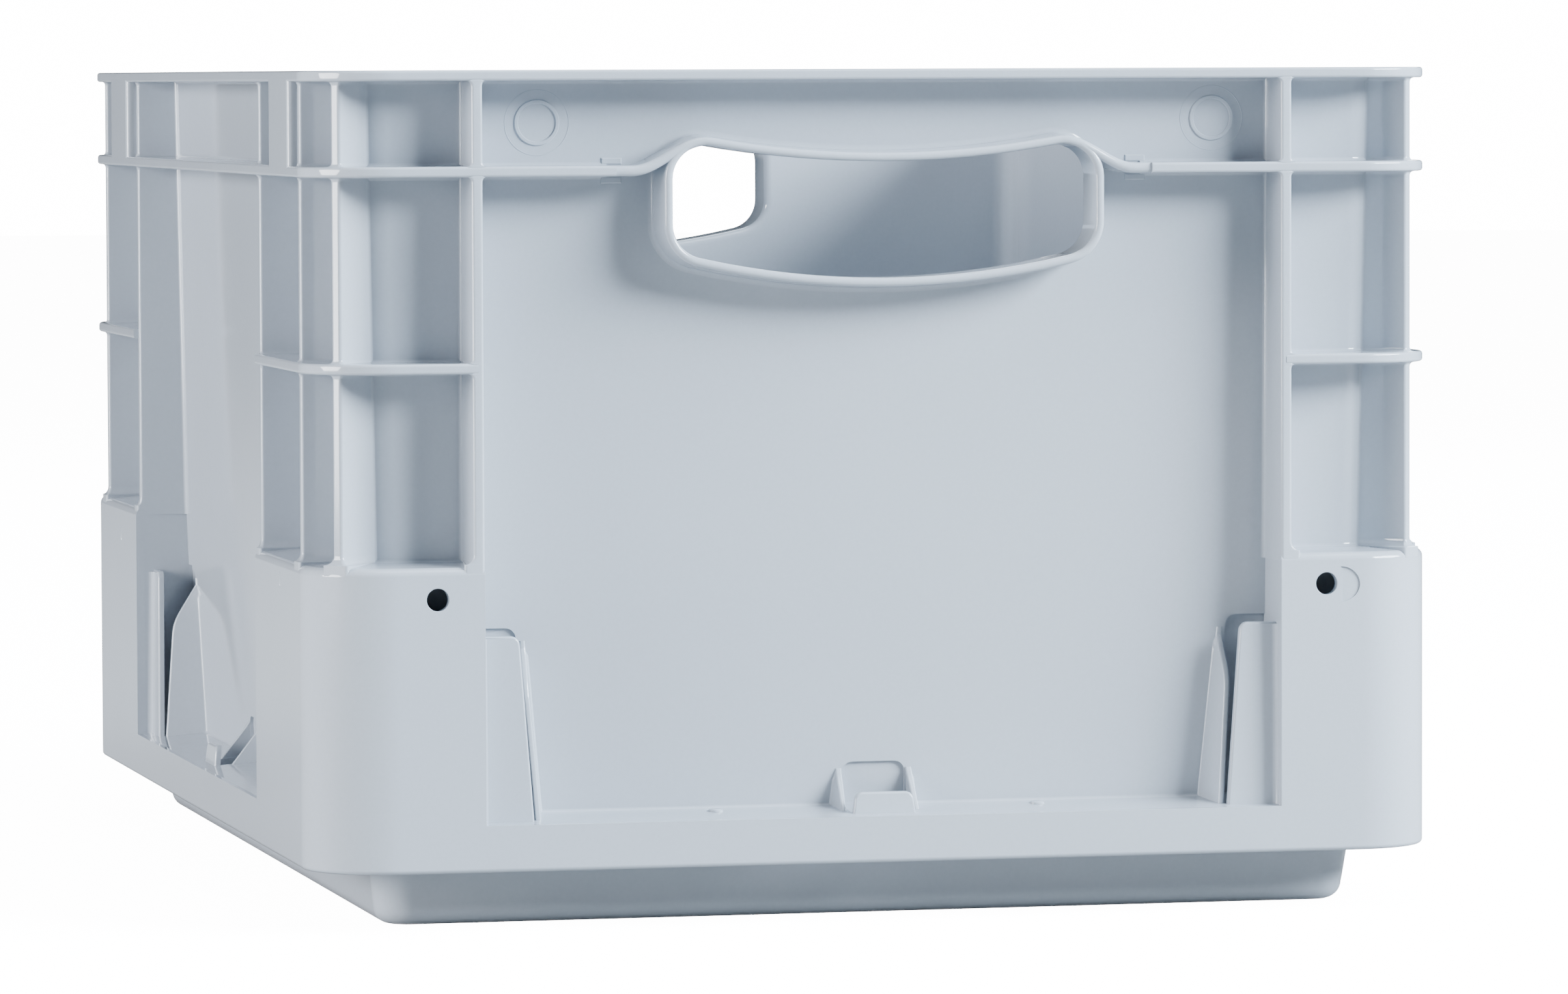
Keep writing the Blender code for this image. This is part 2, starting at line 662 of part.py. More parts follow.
def build(group):
    copies(floor_tray(), [("floor_tray", 1, 1)], group)
    copies(corner_wall(), four("corner_wall"), group)
    copies(end_wall(), ends("end_wall"), group)
    copies(long_wall(), sides("long_wall"), group)
    copies(top_rim(), [("top_rim", 1, 1)], group)
    copies(upper_shelf(), sides("upper_shelf"), group)
    copies(grip_collar(), ends("grip_collar"), group)
    copies(lower_shelf(), four("lower_shelf"), group)
    copies(diagonal_rib(), four("diagonal_rib"), group)
    copies(end_rib(), four("end_rib"), group)
    copies(long_wall_rib(RIB_A_Y), four("corner_side_rib"), group)
    copies(long_wall_rib(RIB_B_Y), four("recess_side_rib"), group)
    copies(top_row_plate(FRONT_PLATE), turned("front_left_top_row_plate", "rear_right_top_row_plate"), group)
    copies(top_row_plate(REAR_PLATE), turned("rear_left_top_row_plate", "front_right_top_row_plate"), group)
    copies(corner_block(), four("corner_block"), group)
    copies(end_band(), ends("band"), group)
    copies(long_band(), sides("band"), group)
    copies(on_end_wall(side_clip(), -HALF_X + BLOCK_X + GAP), four("end_label_clip"), group)
    copies(on_long_wall(side_clip(), -HALF_Y + BLOCK_Y + GAP), four("side_label_clip"), group)
    copies(on_end_wall(centre_clip(), 0), ends("centre_clip"), group)
    copies(on_long_wall(centre_clip(), 0), sides("centre_clip"), group)


clear_scene()
WORK = new_collection("construction")
WORK.hide_render = True
build(new_collection("stacking_crate"))
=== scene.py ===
"""Looks of the stacking crate: one glossy polypropylene moulding, built feature by feature.

Every feature is a closed mesh of its own that stands for one CAD node. Features sink a
little into their neighbours, with a small fillet at the foot, so that no seam shows.
Places are worked out for the front left quarter and repeated by reflection.
"""
import math

import bmesh
import bpy
from mathutils import Matrix, Vector


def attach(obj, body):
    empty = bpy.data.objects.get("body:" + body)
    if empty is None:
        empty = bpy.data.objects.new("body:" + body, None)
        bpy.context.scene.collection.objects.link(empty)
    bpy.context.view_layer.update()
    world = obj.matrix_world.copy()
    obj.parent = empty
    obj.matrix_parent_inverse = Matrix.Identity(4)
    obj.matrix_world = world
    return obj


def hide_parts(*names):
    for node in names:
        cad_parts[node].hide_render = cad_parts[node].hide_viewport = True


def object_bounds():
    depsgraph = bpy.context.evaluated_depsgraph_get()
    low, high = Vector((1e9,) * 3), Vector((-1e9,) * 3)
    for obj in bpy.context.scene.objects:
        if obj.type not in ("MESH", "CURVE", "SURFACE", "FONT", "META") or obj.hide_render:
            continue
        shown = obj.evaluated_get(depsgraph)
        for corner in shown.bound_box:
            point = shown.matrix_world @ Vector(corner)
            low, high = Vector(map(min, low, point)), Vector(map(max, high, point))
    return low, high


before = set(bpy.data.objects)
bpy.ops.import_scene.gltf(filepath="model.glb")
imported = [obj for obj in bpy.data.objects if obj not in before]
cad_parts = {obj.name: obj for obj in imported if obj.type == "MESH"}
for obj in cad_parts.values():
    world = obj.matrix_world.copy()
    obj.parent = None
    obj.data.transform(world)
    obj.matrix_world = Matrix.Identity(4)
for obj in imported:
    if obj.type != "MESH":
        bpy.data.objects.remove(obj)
CAD_BOX = [list(corner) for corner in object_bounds()]
HALF_X, HALF_Y, HEIGHT = CAD_BOX[1]
MM = 0.001

# Tub and rim
CORNER_R = 22 * MM
TUB_PROFILE = [(0.0, 20.5 * MM), (15.4 * MM, 18.1 * MM), (90 * MM, 14.9 * MM), (HEIGHT, 12.7 * MM)]
KNEE_BLEND = 8 * MM          # how far the knees of the profile are smoothed, up and down
TUB_R = 9 * MM
WALL = 2.2 * MM
SHELF = 2.8 * MM
RIM_UNDER = HEIGHT - SHELF
FLOOR = 2.6 * MM
FOOT_ROUND = 4.5 * MM
FLOOR_FILLET = 4 * MM
WALL_FOOT = 15.35 * MM       # cut between floor tray and walls
RIM_CUT = 214 * MM           # cut between walls and rim
FLAT_X = 118.5 * MM          # half lengths of the straight walls between the corner pieces
FLAT_Y = 168.5 * MM

# Small shapes shared by many features
EDGE = 0.8 * MM              # rounding of free edges
FILLET = 0.9 * MM            # fillet where a feature meets the tub
SINK = 0.7 * MM              # how far a feature runs into the wall behind it
TINY = 0.02 * MM             # tolerance, and the step between faces that must not meet
DIAGONAL = math.sqrt(0.5)
TURN_STEPS = 24              # facets round a quarter turn

# Ribs and shelves
RIB = 2.9 * MM
RIB_INSET = 1.4 * MM         # how far a rib's front stands inside the envelope
RIB_SPREAD = 0.3 * MM        # how much wider a rib is at its foot, on each side
FLUSH = 0.12 * MM            # the same inset for the ribs beside the end recess
SHELF_FILLET = 1.1 * MM
BLOCK_FILLET = 2.4 * MM
SHELF_NOSE = 0.6             # shares of the fillets by which a rib's front comes forward
BLOCK_NOSE = 0.46
SHELF_STEPS = (0, 0.12, 0.35, 0.65, 1.1)     # mm from a shelf at which a rib's section is taken
BLOCK_STEPS = (0.2, 0.6, 1.1, 1.7, 2.4)      # mm above the block
BLOCK_X = 44.3 * MM
BLOCK_Y = 92.5 * MM
RIB_A_Y = 27.5 * MM
UPPER_SHELF = 192.7 * MM
LOWER_SHELF = 142.6 * MM
FRONT_PLATE = (36.5 * MM, 66.5 * MM)
REAR_PLATE = (321 * MM, 352 * MM)
PLATE = 2.5 * MM
PLATE_R = 1.4 * MM

# Skirt
SKIRT_BOTTOM = 15.2 * MM
SKIN = 2.5 * MM
BLOCK_TOP = 94.1 * MM
LIP_START = 91.2 * MM
LIP_R = 2.2 * MM
BAND_LIP = 27.3 * MM
BAND_TOP = 28.8 * MM
LOWER_EDGE = 1.2 * MM
RECESS_EDGE = 0.8 * MM
DRAIN_X = 32 * MM
DRAIN_Z = 85.3 * MM
DRAIN_R = 2.9 * MM
DRAIN_SOFT = 0.9 * MM

# Hand grip
GRIP_HALF = 56 * MM
GRIP_TOP_MID = 196.2 * MM
GRIP_BOTTOM_MID = 166.2 * MM
GRIP_TOP_BOW = 260 * MM
GRIP_BOTTOM_BOW = 220 * MM
GRIP_TOP_R = 8.5 * MM
GRIP_BOTTOM_R = 9 * MM
COLLAR = 2.3 * MM
COLLAR_INSET = 0.6 * MM
COLLAR_SPREAD = 0.45 * MM    # how much wider the collar is at its foot
COLLAR_FILLET = 1.4 * MM
COLLAR_INNER_R = 2.0 * MM    # rounding of the opening's edge inside the crate
WING_END = 71 * MM
WING_BEND = 66.5 * MM

# Small moulded marks
ROUNDELS = ((-90.4 * MM, 206.9 * MM), (89.2 * MM, 206.5 * MM))
RINGS = ((5.4 * MM, 0.55 * MM, 0.4 * MM), (8.4 * MM, 0.12 * MM, 0.08 * MM))  # radius, half width, height
MARK_SINK = 0.3 * MM         # how far a raised mark runs into the wall
STEP_X = (67.0 * MM, 72.4 * MM)
STEP_GAP = (0.2 * MM, 1.9 * MM)      # from the shelf to the step's near and far edges
STEP_HEIGHT = 0.3 * MM
STEP_SLOPE = 0.25 * MM
BUMP_X = 43 * MM             # ejector bumps on the end ledges
BUMP_DEPTH = 13 * MM
BUMP_SINK = 0.1 * MM
# Radius and rise of the bump's rings, from inside the ledge to its flat top
BUMP_RINGS = ((2.0 * MM, -0.4 * MM), (1.9 * MM, 0.05 * MM), (1.5 * MM, 0.3 * MM), (0.9 * MM, 0.4 * MM))
HALF_DISC = (121.9 * MM, 127.1 * MM)
HALF_DISC_Z = (80.5 * MM, 89.7 * MM)
MARK_DEPTH = 0.4 * MM
GATES = {1: (52.8 * MM, 88.2 * MM), -1: (62.5 * MM, 84.4 * MM)}     # dents: from the end, height

# Label clips; reaches are from the face of the block
TAB = 1.7 * MM
TAB_INSET = 4.2 * MM
TAB_LEAN = 0.7 * MM
TAB_TOP = 75.3 * MM
TAB_TOP_R = 2.4 * MM
TAB_FILLET = 1.3 * MM        # between the tab and the block's face
TAB_BASE_REACH = 13.4 * MM
TAB_TAPER = 0.076            # loss of reach per unit of height
CLIP_FOOT = 27 * MM          # height at which base reaches are stated
WEB_GAP = 0.5 * MM
WEB_THICK = 1.6 * MM
WEB_DEPTH = 6.1 * MM         # of its front edge at the base
WEB_LEAN = 0.079
WEB_SHOULDER = 60.5 * MM
WEB_SLOPE = 0.61             # above the shoulder
WEB_BEND = 3.0 * MM
WEB_WALL_REACH = 17.7 * MM   # of its far face, at the wall
WEB_WALL_TAPER = 0.095
WEB_TOP = 73.4 * MM
POCKET = 0.9 * MM
POCKET_BOTTOM = 20 * MM      # hidden behind the band
POCKET_TOP = 76.7 * MM
POCKET_R = 2.8 * MM
POCKET_MARGIN = 1.0 * MM
CENTRE_TAB_TOP = 33.1 * MM
CENTRE_TAB_HALF = (8.5 * MM, 7.9 * MM)
CENTRE_WEB_DEPTH = 7.6 * MM
CENTRE_WEB_FRONT = (9.2 * MM, 10.4 * MM)
CENTRE_WEB_WALL = (9.2 * MM, 11.6 * MM)
CENTRE_WEB_APEX = (8.5 * MM, 10.2 * MM)
CENTRE_APEX = 37.8 * MM
CENTRE_POCKET_TOP = 40.1 * MM
CENTRE_POCKET_HALF = 8.4 * MM

# Plastic
BLUE_GREY = [(0.400, 0.442, 0.500, 1), (0.420, 0.462, 0.520, 1)]
SPECKS = [(0.975, 0.975, 0.975, 1), (1, 1, 1, 1)]
ROUGHNESS = (0.05, 0.09)

# Studio; each lamp has its bearing from the front towards the right and its height in degrees,
# its size in metres, its power in watts and its colour
COOL = (0.82, 0.915, 1.0)
NEUTRAL = (0.97, 0.98, 1.0)
LAMPS = [
    ("key_panel", 56, 25, (1.8, 0.9), 268, COOL),
    ("left_panel", -81, 8, (1.4, 1.2), 136, NEUTRAL),
    ("upright_strip", 40, 28, (0.22, 0.8), 14, COOL),
    ("top_panel", 20, 80, (1.6, 1.6), 42, COOL),
    ("rear_panel", 160, 30, (1.6, 1.2), 35, COOL),
]
LAMP_DISTANCE = 2.4
STAGE_RADIUS = 9
STAGE_DROP = 0.15 * MM       # keeps the floor's face apart from the foot's
PAPER_SEEN = 0.8             # how light the floor looks to the camera, and its glow
PAPER_GLOW = 14.0
PAPER_REST = 0.35            # how light it is to everything else
WORLD_SEEN = 20.0
WORLD_REST = 0.03
WORLD_COLOUR = (0.92, 0.96, 1.0, 1)

# Camera: place in metres, angles in degrees
CAMERA_PLACE = (-0.4881, -2.1872, 0.2178)
YAW = 13.05
PITCH = 3.02
ROLL = -0.22
LENS = 182.5
SENSOR = 36

QUARTERS = [("front_left", 1, 1), ("front_right", -1, 1), ("rear_left", 1, -1), ("rear_right", -1, -1)]


# ---------------------------------------------------------------- plan and section geometry

def arc(cx, cy, radius, start, end, steps=4):
    """Points along an arc, angles in degrees."""
    points = []
    for i in range(steps + 1):
        angle = math.radians(start + (end - start) * i / steps)
        points.append((cx + radius * math.cos(angle), cy + radius * math.sin(angle)))
    return points


def straight_inset(z):
    """The tub's inset at a height, straight between the heights where its lean changes."""
    for (z0, inset0), (z1, inset1) in zip(TUB_PROFILE, TUB_PROFILE[1:]):
        if z < z1:
            break
    return inset0 + (inset1 - inset0) * (z - z0) / (z1 - z0)


def inset_at(z):
    """How far the tub's outer face stands inside the envelope at a height."""
    steps = (-1, -0.6, -0.2, 0.2, 0.6, 1)
    return sum(straight_inset(z + step * KNEE_BLEND) for step in steps) / len(steps)


def radius_at(inset, z):
    """Plan radius of the corner at an inset: the envelope's outside, the tub's at its face."""
    wall = inset_at(z)
    if inset <= wall:
        return CORNER_R + (TUB_R - CORNER_R) * inset / wall
    return TUB_R - (inset - wall)


def stand(station, inset, z):
    """The point at an inset and height, at one station of the way round the crate."""
    kind, sign, value = station
    if kind == "end":
        return Vector((value, sign * (HALF_Y - inset), z))
    if kind == "side":
        return Vector((sign * (HALF_X - inset), value, z))
    sx, sy = sign
    radius = radius_at(inset, z)
    x = sx * (HALF_X - inset - radius) + radius * math.cos(value)
    y = sy * (HALF_Y - inset - radius) + radius * math.sin(value)
    return Vector((x, y, z))


def turn(sx, sy):
    """Stations round one corner, anticlockwise seen from above."""
    start = {(1, -1): -90, (1, 1): 0, (-1, 1): 90, (-1, -1): 180}[(sx, sy)]
    angles = [math.radians(start + 90 * i / TURN_STEPS) for i in range(TURN_STEPS + 1)]
    return [("turn", (sx, sy), angle) for angle in angles]


def all_round():
    """Stations round the whole crate, anticlockwise from the front left."""
    stations = [("end", -1, -FLAT_X), ("end", -1, FLAT_X)] + turn(1, -1)
    stations += [("side", 1, -FLAT_Y), ("side", 1, FLAT_Y)] + turn(1, 1)
    stations += [("end", 1, FLAT_X), ("end", 1, -FLAT_X)] + turn(-1, 1)
    return stations + [("side", -1, FLAT_Y), ("side", -1, -FLAT_Y)] + turn(-1, -1)


def quarter(x_end, y_end):
    """Stations from a place on the front end wall round the left corner to one on the long wall."""
    stations = [("end", -1, x_end), ("end", -1, -FLAT_X)] + turn(-1, -1)[::-1]
    return stations + [("side", -1, -FLAT_Y), ("side", -1, y_end)]


# ---------------------------------------------------------------- mesh helpers

def outward(bm):
    """Turns a closed mesh the right way out."""
    bm.normal_update()
    if bm.calc_volume(signed=True) < 0:
        bmesh.ops.reverse_faces(bm, faces=bm.faces)
    return bm


def sweep(stations, section, closed=False, capped=False):
    """A section of (inset, z) points carried round the stations.

    A closed sweep meets itself. A capped one has an open section, whose two ends are
    filled across the crate, as a floor is.
    """
    bm = bmesh.new()
    rows = [[bm.verts.new(stand(s, inset, z)) for inset, z in section] for s in stations]
    pairs = list(zip(rows, rows[1:]))
    if closed:
        pairs.append((rows[-1], rows[0]))
    count = len(section)
    steps = range(count - 1) if capped else range(count)
    for a, b in pairs:
        for i in steps:
            j = (i + 1) % count
            bm.faces.new((a[i], a[j], b[j], b[i]))
    if capped:
        bm.faces.new([row[0] for row in rows])
        bm.faces.new([row[-1] for row in rows][::-1])
    if not closed:
        bm.faces.new(rows[0][::-1])
        bm.faces.new(rows[-1])
    bmesh.ops.remove_doubles(bm, verts=bm.verts, dist=1e-7)
    return outward(bm)


def rings(loops, closed=False):
    """A closed solid through loops of points, capped at both ends unless the last joins the first."""
    bm = bmesh.new()
    rows = [[bm.verts.new(point) for point in loop] for loop in loops]
    count = len(rows[0])
    for a, b in zip(rows, rows[1:] + rows[:1] if closed else rows[1:]):
        for i in range(count):
            j = (i + 1) % count
            bm.faces.new((a[i], a[j], b[j], b[i]))
    if not closed:
        bm.faces.new(rows[0][::-1])
        bm.faces.new(rows[-1])
    return outward(bm)


def soften(bm, width, segments, chosen, sharp=0.5):
    """Bevels the sharp edges whose two end points pass a test."""
    edges = [e for e in bm.edges if len(e.link_faces) == 2 and e.calc_face_angle() > sharp]
    edges = [e for e in edges if chosen(e.verts[0].co) and chosen(e.verts[1].co)]
    bmesh.ops.bevel(bm, geom=edges, offset=width, segments=segments, profile=0.5, affect="EDGES",
                    clamp_overlap=True)
    return outward(bm)


def carved(bm, cutter):
    """Cuts one mesh away from another; both are used up."""
    objects = []
    for part in (bm, cutter):
        mesh = bpy.data.meshes.new("work")
        part.to_mesh(mesh)
        part.free()
        obj = bpy.data.objects.new("work", mesh)
        bpy.context.scene.collection.objects.link(obj)
        objects.append(obj)
    target, tool = objects
    modifier = target.modifiers.new("work", "BOOLEAN")
    modifier.operation = "DIFFERENCE"
    modifier.solver = "EXACT"
    modifier.object = tool
    result = bpy.data.meshes.new_from_object(target.evaluated_get(bpy.context.evaluated_depsgraph_get()))
    made = bmesh.new()
    made.from_mesh(result)
    for obj in objects:
        mesh = obj.data
        bpy.data.objects.remove(obj, do_unlink=True)
        bpy.data.meshes.remove(mesh)
    bpy.data.meshes.remove(result)
    return made


def joined(*parts):
    """Puts several closed meshes in one."""
    mesh = bpy.data.meshes.new("work")
    made = bmesh.new()
    for part in parts:
        part.to_mesh(mesh)
        part.free()
        made.from_mesh(mesh)
    bpy.data.meshes.remove(mesh)
    return made


def reflected(bm, sx, sy):
    """A copy turned over in X, in Y or in both."""
    made = bm.copy()
    bmesh.ops.transform(made, matrix=Matrix.Diagonal((sx, sy, 1, 1)), verts=made.verts)
    return outward(made)


def trimmed(bm, planes):
    """A copy kept behind every plane (point, normal), with the cuts filled."""
    made = bm.copy()
    for point, normal in planes:
        geometry = made.verts[:] + made.edges[:] + made.faces[:]
        cut = bmesh.ops.bisect_plane(made, geom=geometry, dist=1e-7, plane_co=point, plane_no=normal,
                                     clear_outer=True)
        edges = [e for e in cut["geom_cut"] if isinstance(e, bmesh.types.BMEdge)]
        if edges:
            bmesh.ops.triangle_fill(made, edges=edges, use_beauty=True)
    return made


def block(x_range, y_range, z_range):
    """A rectangular block between three pairs of limits."""
    (x0, x1), (y0, y1), (z0, z1) = x_range, y_range, z_range
    plan = [(x0, y0), (x1, y0), (x1, y1), (x0, y1)]
    return rings([[(x, y, z0) for x, y in plan], [(x, y, z1) for x, y in plan]])


# ---------------------------------------------------------------- material

def make_plastic():
    """Pale blue-grey polypropylene: glossy, with fine grain, faint flow marks and handling haze."""
    material = bpy.data.materials.new("glossy_polypropylene")
    material.use_nodes = True
    nodes = material.node_tree.nodes
    links = material.node_tree.links
    shader = nodes["Principled BSDF"]
    shader.inputs["IOR"].default_value = 1.49
    shader.inputs["Metallic"].default_value = 0.0
    place = nodes.new("ShaderNodeTexCoord")

    def noise(scale, detail, rough=0.5):
        texture = nodes.new("ShaderNodeTexNoise")
        texture.inputs["Scale"].default_value = scale
        texture.inputs["Detail"].default_value = detail
        texture.inputs["Roughness"].default_value = rough
        links.new(place.outputs["Object"], texture.inputs["Vector"])
        return texture.outputs["Fac"]

    def ramp(source, low, high, colours):
        node = nodes.new("ShaderNodeValToRGB")
        node.color_ramp.elements[0].position = low
        node.color_ramp.elements[1].position = high
        node.color_ramp.elements[0].color = colours[0]
        node.color_ramp.elements[1].color = colours[1]
        links.new(source, node.inputs["Fac"])
        return node.outputs["Color"]

    def bumps(height, strength, distance):
        node = nodes.new("ShaderNodeBump")
        node.inputs["Strength"].default_value = strength
        node.inputs["Distance"].default_value = distance
        links.new(height, node.inputs["Height"])
        return node

    cloud = ramp(noise(9.0, 3.0), 0.3, 0.7, BLUE_GREY)
    speck = ramp(noise(900.0, 2.0), 0.35, 0.65, SPECKS)
    mix = nodes.new("ShaderNodeMix")
    mix.data_type = "RGBA"
    mix.blend_type = "MULTIPLY"
    mix.inputs["Factor"].default_value = 1.0
    links.new(cloud, mix.inputs["A"])
    links.new(speck, mix.inputs["B"])
    links.new(mix.outputs["Result"], shader.inputs["Base Color"])

    haze = nodes.new("ShaderNodeMapRange")
    haze.inputs["From Min"].default_value = 0.3
    haze.inputs["From Max"].default_value = 0.7
    haze.inputs["To Min"].default_value = ROUGHNESS[0]
    haze.inputs["To Max"].default_value = ROUGHNESS[1]
    links.new(noise(38.0, 5.0, 0.65), haze.inputs["Value"])
    links.new(haze.outputs["Result"], shader.inputs["Roughness"])

    grain = bumps(noise(1600.0, 3.0), 0.03, 0.0002)
    flow = bumps(noise(14.0, 1.0), 0.05, 0.004)
    links.new(flow.outputs["Normal"], grain.inputs["Normal"])
    links.new(grain.outputs["Normal"], shader.inputs["Normal"])
    return material


PLASTIC = make_plastic()


def show(bm, node, smooth=32):
    """Shows a finished mesh in place of a CAD node."""
    mesh = bpy.data.meshes.new(node + "_moulded")
    bm.to_mesh(mesh)
    bm.free()
    mesh.shade_smooth()
    mesh.set_sharp_from_angle(angle=math.radians(smooth))
    mesh.materials.append(PLASTIC)
    piece = bpy.data.objects.new(node + "_moulded", mesh)
    bpy.context.scene.collection.objects.link(piece)
    normals = piece.modifiers.new("Weighted Normal", "WEIGHTED_NORMAL")
    normals.keep_sharp = True
    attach(piece, "root")
    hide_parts(node)


def show_copies(bm, names):
    """Shows a front left feature in each quarter named with its signs."""
    for name, sx, sy in names:
        show(reflected(bm, sx, sy), name)
    bm.free()


def four(stem):
    """Names and signs of a feature that stands at each corner."""
    return [(corner + "_" + stem, sx, sy) for corner, sx, sy in QUARTERS]


def ends(stem):
    """Names and signs of a feature of the front and rear ends."""
    return [("front_" + stem, 1, 1), ("rear_" + stem, 1, -1)]


def sides(stem):
    """Names and signs of a feature of the left and right sides."""
    return [("left_" + stem, 1, 1), ("right_" + stem, -1, 1)]


# ---------------------------------------------------------------- hand grip outline

def grip_outline(grow=0.0):
    """Hand grip as (x, z): bowed top and bottom edges with rounded corners, enlarged by grow."""
    top_centre = GRIP_TOP_MID + GRIP_TOP_BOW
    bottom_centre = GRIP_BOTTOM_MID + GRIP_BOTTOM_BOW
    tx = GRIP_HALF - GRIP_TOP_R
    tz = top_centre - math.sqrt((GRIP_TOP_BOW + GRIP_TOP_R) ** 2 - tx ** 2)
    bx = GRIP_HALF - GRIP_BOTTOM_R
    bz = bottom_centre - math.sqrt((GRIP_BOTTOM_BOW - GRIP_BOTTOM_R) ** 2 - bx ** 2)
    rise = math.degrees(math.asin(tx / (GRIP_TOP_BOW + GRIP_TOP_R)))
    drop = math.degrees(math.asin(bx / (GRIP_BOTTOM_BOW - GRIP_BOTTOM_R)))
    points = arc(tx, tz, GRIP_TOP_R + grow, 0, 90 + rise, 12)
    points += arc(0, top_centre, GRIP_TOP_BOW - grow, 270 + rise, 270 - rise, 16)[1:-1]
    points += arc(-tx, tz, GRIP_TOP_R + grow, 90 - rise, 180, 12)
    points += arc(-bx, bz, GRIP_BOTTOM_R + grow, 180, 270 - drop, 12)
    points += arc(0, bottom_centre, GRIP_BOTTOM_BOW + grow, 270 - drop, 270 + drop, 16)[1:-1]
    points += arc(bx, bz, GRIP_BOTTOM_R + grow, 270 + drop, 360, 12)
    return points


# ---------------------------------------------------------------- tub, rim and floor

def tub_section():
    """From the middle of the underside up the outside, over the rim and down to the floor."""
    foot = inset_at(FOOT_ROUND) + FOOT_ROUND
    points = arc(foot, FOOT_ROUND, FOOT_ROUND, 270, 180, 8)
    under = RIM_UNDER - FILLET
    low = FLOOR + FLOOR_FILLET
    rows = 30
    heights = [low + (RIM_CUT - low) * i / rows for i in range(rows + 1)]
    points += [(inset_at(z), z) for z in heights]
    points += arc(inset_at(under) - FILLET, under, FILLET, 0, 90, 4)
    points += arc(EDGE, RIM_UNDER + EDGE, EDGE, 270, 180, 4)
    points += arc(EDGE, HEIGHT - EDGE, EDGE, 180, 90, 4)
    lip = inset_at(HEIGHT) + WALL - EDGE
    points += arc(lip, HEIGHT - EDGE, EDGE, 90, 0, 4)
    points += [(inset_at(z) + WALL, z) for z in heights[:0:-1]]
    points += arc(inset_at(low) + WALL + FLOOR_FILLET, low, FLOOR_FILLET, 180, 270, 6)
    return points


def end_place(u, depth, z):
    """Sets (u, depth, z) on the front end wall, u along X."""
    return Vector((u, -HALF_Y + depth, z))


def side_place(u, depth, z):
    """Sets (u, depth, z) on the left long wall, u along Y."""
    return Vector((-HALF_X + depth, u, z))


def pocket_cutter(outline, place):
    """Cutter for a shallow pocket in the tub's outer face, following its lean."""
    return rings([[place(u, 0, z) for u, z in outline],
                  [place(u, inset_at(z) + POCKET, z) for u, z in outline]])


def tab_reach(z):
    """Reach of a label clip's tab from the face of the block."""
    return TAB_BASE_REACH - TAB_TAPER * (z - CLIP_FOOT)


def clip_pocket(face):
    """Pocket behind a label clip beside a block whose face is at u = face."""
    low = POCKET_BOTTOM
    behind = -2 * MM
    side = POCKET_TOP - POCKET_R
    top = tab_reach(side) + POCKET_MARGIN - POCKET_R
    outline = [(behind, low), (tab_reach(low) + POCKET_MARGIN, low)]
    outline += arc(top, side, POCKET_R, 0, 90, 6) + [(behind, POCKET_TOP)]
    return [(face + u, z) for u, z in outline]


def centre_pocket():
    """Pocket behind the small clip at the middle of a wall."""
    half = CENTRE_POCKET_HALF
    top = CENTRE_POCKET_TOP - POCKET_R
    outline = [(-half, POCKET_BOTTOM), (half, POCKET_BOTTOM)]
    outline += arc(half - POCKET_R, top, POCKET_R, 0, 90, 6)
    return outline + arc(-half + POCKET_R, top, POCKET_R, 90, 180, 6)


def raised_ring(u, z, radius, half, height):
    """Low ring standing on the end wall's outer face."""
    section = [(-half, -MARK_SINK), (-half, height * 0.5), (-half * 0.6, height), (half * 0.6, height),
               (half, height * 0.5), (half, -MARK_SINK)]
    steps = 48
    loops = []
    for offset, rise in section:
        loop = []
        for i in range(steps):
            angle = 2 * math.pi * i / steps
            high = z + (radius + offset) * math.sin(angle)
            loop.append(end_place(u + (radius + offset) * math.cos(angle), inset_at(high) - rise, high))
        loops.append(loop)
    return rings(loops, closed=True)


def low_pad(u_range, z_range, height):
    """Low flat pad with sloping edges on the end wall's outer face."""
    loops = []
    for grow, rise in ((0, -MARK_SINK), (0, height * 0.4), (-STEP_SLOPE, height)):
        u0, u1 = u_range[0] - grow, u_range[1] + grow
        z0, z1 = z_range[0] - grow, z_range[1] + grow
        plan = [(u0, z0), (u1, z0), (u1, z1), (u0, z1)]
        loops.append([end_place(u, inset_at(z) - rise, z) for u, z in plan])
    return rings(loops)


def wall_marks():
    """Plain roundels under the rim of an end wall, and steps where the collar's wings meet the shelf."""
    marks = []
    for u, z in ROUNDELS:
        marks += [raised_ring(u, z, *ring) for ring in RINGS]
    near, far = STEP_GAP
    above = (UPPER_SHELF + SHELF + near, UPPER_SHELF + SHELF + far)
    below = (UPPER_SHELF - far, UPPER_SHELF - near)
    for u_range in (STEP_X, (-STEP_X[1], -STEP_X[0])):
        marks.append(low_pad(u_range, above, STEP_HEIGHT))
        marks.append(low_pad(u_range, below, STEP_HEIGHT))
    return marks


